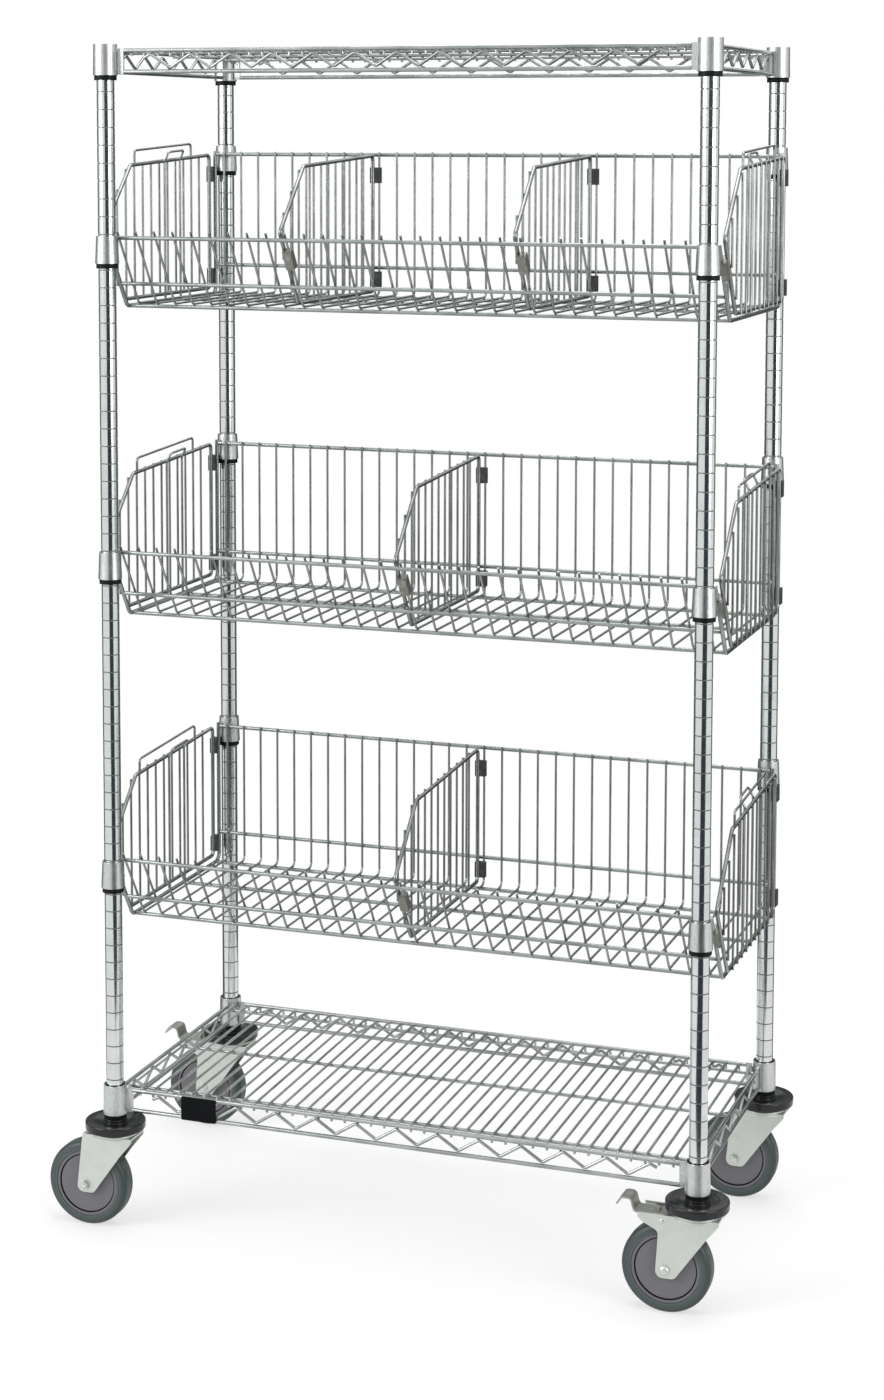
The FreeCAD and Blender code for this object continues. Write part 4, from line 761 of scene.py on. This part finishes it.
class RACK_OT_tyres(bpy.types.Operator):
    """Spin the tyres"""

    bl_idname = "rack.tyres"
    bl_label = "Tyres"

    def execute(self, context):
        scene = context.scene
        sizes = scene.rack_sizes
        for corner in CORNERS:
            low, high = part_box("tyre_" + corner)
            half = (high.y - low.y) / 2
            outer = (high.z - low.z) / 2
            ring = sizes.tyre_ring_radius
            wide = sizes.tyre_ring_width / 2
            deep = half - sizes.tyre_ring_depth
            side = [
                (sizes.tyre_seat, half),
                (ring - wide, half),
                (ring - wide, deep),
                (ring + wide, deep),
                (ring + wide, half),
                (outer, half),
            ]
            section = side + [(radius, -along) for radius, along in reversed(side)]
            bm = spun_ring(section, "Y", steps=96)
            tread = outer * RIM_SHARE
            soften(bm, sizes.tyre_shoulder, segments=7, chosen=lambda edge: off_axis(edge, "Y") > tread)
            seat = sizes.tyre_seat / RIM_SHARE
            soften(bm, sizes.tyre_lip, chosen=lambda edge: off_axis(edge, "Y") < seat)
            bmesh.ops.translate(bm, vec=JOINT_PLACES["roll_" + corner], verts=bm.verts)
            rubber = tyre_rubber(corner, scene.rack_colours, sizes)
            finished("slate_tyre_" + corner, bm, rubber, "wheel_" + corner, ["tyre_" + corner])
        return {"FINISHED"}


class RACK_OT_hubs(bpy.types.Operator):
    """Spin the wheel centres"""

    bl_idname = "rack.hubs"
    bl_label = "Wheel Centres"

    def execute(self, context):
        scene = context.scene
        sizes = scene.rack_sizes
        for corner in CORNERS:
            low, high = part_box("hub_" + corner)
            boss_end = (high.y - low.y) / 2
            outer = (high.z - low.z) / 2
            groove = sizes.hub_face + sizes.hub_gap
            face = sizes.hub_face_half
            depth = face - sizes.hub_gap_depth
            side = [
                (sizes.hub_bore, boss_end),
                (sizes.hub_boss, boss_end),
                (sizes.hub_boss, face),
                (sizes.hub_face, face),
                (sizes.hub_face, depth),
                (groove, depth),
                (groove, sizes.hub_rim_half),
                (outer, sizes.hub_rim_half),
            ]
            section = side + [(radius, -along) for radius, along in reversed(side)]
            bm = spun_ring(section, "Y", steps=96)
            soften(bm, sizes.hub_round)
            bmesh.ops.translate(bm, vec=JOINT_PLACES["roll_" + corner], verts=bm.verts)
            plastic = hub_plastic(corner, scene.rack_colours, sizes)
            finished("wheel_centre_" + corner, bm, plastic, "wheel_" + corner, ["hub_" + corner])
        return {"FINISHED"}


class RACK_OT_forks(bpy.types.Operator):
    """Soften the pressed forks and give them their race cups"""

    bl_idname = "rack.forks"
    bl_label = "Forks"

    def execute(self, context):
        sizes = context.scene.rack_sizes
        zinc = bpy.data.materials["zinc_plate"]
        section = [
            (sizes.cup_inner, 0),
            (sizes.cup_outer, 0),
            (sizes.cup_outer, sizes.cup_rise),
            (sizes.cup_inner, sizes.cup_rise),
        ]
        cup = spun_ring(section, "Z")
        soften(cup, (sizes.cup_outer - sizes.cup_inner) * CUP_SHARE, segments=3)
        for corner in CORNERS:
            node = "fork_" + corner
            stand = JOINT_PLACES["swivel_" + corner]
            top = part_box(node)[1].z
            bm = copy_of(node)
            soften(bm, sizes.crown_bend, segments=4,
                   chosen=lambda edge: self.crown_side(edge, stand.y, top))
            soften(bm, sizes.pressed_edge)
            moved_in(bm, cup, Vector((stand.x, stand.y, top)))
            if corner in BRAKED:
                for angle in (0, math.pi):
                    head = button(sizes.pin_head, sizes.pin_rise)
                    bmesh.ops.translate(head, vec=(0, -sizes.fork_side, 0), verts=head.verts)
                    turned(head, angle, "Z")
                    moved_in(bm, head, JOINT_PLACES["brake_" + corner])
                    head.free()
            finished("pressed_fork_" + corner, bm, zinc, "caster_" + corner, [node])
        cup.free()
        return {"FINISHED"}

    def crown_side(self, edge, middle, top):
        """Whether an edge lies along the crown's top at the fork's sides."""
        ends = [vert.co for vert in edge.verts]
        level = all(abs(end.z - top) < MERGE_DISTANCE for end in ends)
        along = abs(ends[0].y - ends[1].y) < MERGE_DISTANCE
        return level and along and abs(ends[0].y - middle) > MERGE_DISTANCE


class RACK_OT_axles(bpy.types.Operator):
    """Model the axle bolts with domed heads, nuts and threads"""

    bl_idname = "rack.axles"
    bl_label = "Axles"

    def execute(self, context):
        sizes = context.scene.rack_sizes
        zinc = bpy.data.materials["zinc_plate"]
        for corner in CORNERS:
            bm = button(sizes.bolt_head, sizes.bolt_rise)
            lift = sizes.axle_seat + sizes.flange_rise / 2
            bmesh.ops.translate(bm, vec=(0, -lift, 0), verts=bm.verts)
            for make in (self.flange, self.nut, self.thread, self.sleeve):
                part = make(sizes)
                moved_in(bm, part, Vector((0, 0, 0)))
                part.free()
            if corner in NUT_IN_FRONT:
                turned(bm, math.pi, "Z")
            bmesh.ops.translate(bm, vec=JOINT_PLACES["roll_" + corner], verts=bm.verts)
            finished("axle_bolt_" + corner, bm, zinc, "caster_" + corner, ["axle_" + corner])
        return {"FINISHED"}

    def flange(self, sizes):
        """The thin flange round the head's foot."""
        shank = sizes.bolt_shank
        brim = sizes.bolt_head + sizes.flange_step
        base = -sizes.axle_seat
        face = base - sizes.flange_rise
        bm = spun_ring([(shank, base), (brim, base), (brim, face), (shank, face)], "Y", steps=32)
        soften(bm, sizes.flange_rise / 3)
        return bm

    def nut(self, sizes):
        bm = bmesh.new()
        bmesh.ops.create_cone(bm, cap_ends=True, segments=6, radius1=sizes.nut_point,
                              radius2=sizes.nut_point, depth=sizes.nut_height)
        soften(bm, sizes.nut_chamfer)
        turned(bm, math.pi / 2, "X")
        middle = sizes.axle_seat + sizes.nut_height / 2
        bmesh.ops.translate(bm, vec=(0, middle, 0), verts=bm.verts)
        return bm

    def thread(self, sizes):
        """The end of the bolt past the nut, ringed at the thread's pitch."""
        shank = sizes.bolt_shank
        root = shank - sizes.thread_depth
        end = sizes.axle_seat + sizes.nut_height + sizes.bolt_stub
        turns = int(sizes.bolt_stub / sizes.thread_pitch) + 1
        crest = [(shank - sizes.thread_depth * (i % 2), end - i * sizes.thread_pitch / 2)
                 for i in range(1, 2 * turns + 1)]
        core = shank * BOLT_CORE
        bottom = crest[-1][1]
        bm = spun_ring([(core, end), (root, end)] + crest + [(core, bottom)], "Y", steps=24)
        bmesh.ops.holes_fill(bm, edges=bm.edges)
        return bm

    def sleeve(self, sizes):
        """The tube that the wheel turns on."""
        inner = sizes.bolt_shank
        outer = sizes.sleeve
        end = sizes.axle_seat
        return spun_ring([(inner, -end), (outer, -end), (outer, end), (inner, end)], "Y", steps=32)


class RACK_OT_pedals(bpy.types.Operator):
    """Soften the bent brake pedals"""

    bl_idname = "rack.pedals"
    bl_label = "Brake Pedals"

    def execute(self, context):
        scene = context.scene
        sizes = scene.rack_sizes
        colours = scene.rack_colours
        steel = dull_steel("pedal_steel", colours.steel, colours.steel_worn)
        for corner in BRAKED:
            node = "brake_pedal_" + corner
            bm = copy_of(node)
            soften(bm, sizes.pressed_edge)
            finished("bent_pedal_" + corner, bm, steel, "pedal_" + corner, [node])
        return {"FINISHED"}


class RACK_OT_studio(bpy.types.Operator):
    """Set up the white floor, the soft lamps, the dark curtains and the camera"""

    bl_idname = "rack.studio"
    bl_label = "Studio"

    def execute(self, context):
        scene = context.scene
        studio = scene.rack_studio
        scene.view_settings.view_transform = "Standard"
        self.make_world(scene, studio)
        self.make_floor(studio)
        aim = Vector((0, 0, CAD_BOX[1].z / 2))
        for name, (place, size) in LAMPS.items():
            self.make_lamp(scene, name + "_lamp", Vector(place), aim, size, getattr(studio, name))
        self.make_curtains(studio)
        self.make_camera(scene, studio)
        return {"FINISHED"}

    def make_world(self, scene, studio):
        """Plain white where it is seen, and an even light of its own for the rest."""
        scene.world = bpy.data.worlds.new("studio_world")
        scene.world.use_nodes = True
        nodes = Nodes(scene.world.node_tree)
        white = nodes.node("ShaderNodeBackground", inputs={"Color": WHITE, "Strength": 1.0})
        light = nodes.node("ShaderNodeBackground", inputs={"Color": WHITE, "Strength": studio.ambient})
        both = nodes.node("ShaderNodeMixShader", inputs={0: nodes.seen_plainly(), 1: light, 2: white})
        nodes.node("ShaderNodeOutputWorld", inputs={"Surface": both})

    def make_floor(self, studio):
        """A wide white floor that keeps the rack's shadow."""
        material = bpy.data.materials.new("studio_white")
        material.use_nodes = True
        nodes = Nodes(material.node_tree)
        matt = nodes.node("ShaderNodeBsdfDiffuse", inputs={"Color": FLOOR_COLOUR})
        glow = nodes.node("ShaderNodeEmission", inputs={"Color": WHITE, "Strength": 1.0})
        here = nodes.node("ShaderNodeTexCoord", out="Object")
        away = nodes.node("ShaderNodeVectorMath", {"operation": "LENGTH"}, {0: here}, out="Value")
        far = nodes.ramp(away, low=studio.floor_near, high=studio.floor_far)
        share = nodes.seen_plainly() * (studio.floor_glow + (1 - studio.floor_glow) * far)
        both = nodes.node("ShaderNodeMixShader", inputs={0: share, 1: matt, 2: glow})
        nodes.node("ShaderNodeOutputMaterial", inputs={"Surface": both})
        bm = bmesh.new()
        bmesh.ops.create_grid(bm, x_segments=1, y_segments=1, size=FLOOR_HALF)
        staged("studio_floor", bm, material)

    def make_lamp(self, scene, name, place, aim, size, power):
        lamp = bpy.data.lights.new(name, "AREA")
        lamp.shape = "SQUARE"
        lamp.size = size
        lamp.energy = power
        holder = bpy.data.objects.new(name, lamp)
        holder.location = place
        holder.rotation_euler = (aim - place).to_track_quat("-Z", "Y").to_euler()
        scene.collection.objects.link(holder)

    def make_curtains(self, studio):
        """Dark curtains that only shiny metal sees: one by the camera and three behind the rack.

        Each has a train that runs along the floor towards the rack."""
        lift = Vector((0, 0, studio.curtain_lift))
        near = studio.curtain_gap / studio.curtain_distance
        for name, (bearing, spread) in CURTAINS.items():
            material = bpy.data.materials.new(name)
            material.use_nodes = True
            nodes = Nodes(material.node_tree)
            shade = studio.camera_curtain if name == "camera_curtain" else studio.back_curtain
            dark = nodes.node("ShaderNodeEmission", inputs={"Color": shade, "Strength": 1.0})
            nodes.node("ShaderNodeOutputMaterial", inputs={"Surface": dark})
            angle = math.radians(bearing)
            wide = 2 * studio.curtain_distance * math.tan(math.radians(spread) / 2)
            foot = Vector((math.cos(angle), math.sin(angle), 0)) * studio.curtain_distance
            bm = bmesh.new()
            bmesh.ops.create_grid(bm, x_segments=1, y_segments=1, size=0.5)
            bmesh.ops.translate(bm, vec=(0, 0.5, 0), verts=bm.verts)
            bmesh.ops.scale(bm, vec=(wide, studio.curtain_height, 1), verts=bm.verts)
            facing = (-foot).to_track_quat("Z", "Y").to_matrix().to_4x4()
            bmesh.ops.transform(bm, matrix=Matrix.Translation(foot + lift) @ facing, verts=bm.verts)
            half_way = studio.curtain_height / 2
            hem = [edge for edge in bm.edges if all(vert.co.z < half_way for vert in edge.verts)]
            train = bmesh.ops.extrude_edge_only(bm, edges=hem)["geom"]
            ends = [item for item in train if isinstance(item, bmesh.types.BMVert)]
            bmesh.ops.scale(bm, vec=(near, near, 1), verts=ends)
            curtain = staged(name, bm, material)
            curtain.visible_camera = False
            curtain.visible_diffuse = False
            curtain.visible_shadow = False
            curtain.visible_transmission = False

    def make_camera(self, scene, studio):
        lens = bpy.data.cameras.new("photo_camera")
        lens.sensor_width = studio.camera_sensor
        lens.lens = studio.camera_lens
        lens.shift_x, lens.shift_y = studio.camera_shift
        camera = bpy.data.objects.new("photo_camera", lens)
        upright = Matrix.Rotation(math.pi / 2 + studio.camera_pitch, 4, "X")
        yawed = Matrix.Rotation(studio.camera_yaw, 4, "Z")
        rolled = Matrix.Rotation(studio.camera_roll, 4, "Z")
        camera.matrix_world = Matrix.Translation(studio.camera_place) @ yawed @ upright @ rolled
        scene.collection.objects.link(camera)
        scene.camera = camera


STEPS = (
    RACK_OT_wires, RACK_OT_posts, RACK_OT_collars, RACK_OT_plastics, RACK_OT_name_plate, RACK_OT_bumpers,
    RACK_OT_tyres, RACK_OT_hubs, RACK_OT_forks, RACK_OT_axles, RACK_OT_pedals, RACK_OT_studio)


class RACK_PT_finisher(bpy.types.Panel):
    """Lists the rack's pieces in the order in which they are made"""

    bl_idname = "RACK_PT_finisher"
    bl_label = "Basket Rack"
    bl_space_type = "VIEW_3D"
    bl_region_type = "UI"
    bl_category = "Rack"

    def draw(self, context):
        for step in STEPS:
            self.layout.operator(step.bl_idname)
        scene = context.scene
        for group in (scene.rack_colours, scene.rack_sizes, scene.rack_studio):
            box = self.layout.box()
            for name in group.bl_rna.properties.keys():
                if name not in ("rna_type", "name"):
                    box.prop(group, name)


GROUPS = {"rack_colours": RackColours, "rack_sizes": RackSizes, "rack_studio": RackStudio}
CLASSES = tuple(GROUPS.values()) + STEPS + (RACK_PT_finisher,)


def register():
    for item in CLASSES:
        bpy.utils.register_class(item)
    for name, group in GROUPS.items():
        setattr(bpy.types.Scene, name, bpy.props.PointerProperty(type=group))


def unregister():
    for name in GROUPS:
        delattr(bpy.types.Scene, name)
    for item in reversed(CLASSES):
        bpy.utils.unregister_class(item)


def main():
    register()
    bpy.ops.rack.wires()
    bpy.ops.rack.posts()
    bpy.ops.rack.collars()
    bpy.ops.rack.plastics()
    bpy.ops.rack.name_plate()
    bpy.ops.rack.bumpers()
    bpy.ops.rack.tyres()
    bpy.ops.rack.hubs()
    bpy.ops.rack.forks()
    bpy.ops.rack.axles()
    bpy.ops.rack.pedals()
    bpy.ops.rack.studio()


if __name__ == "__main__":
    main()
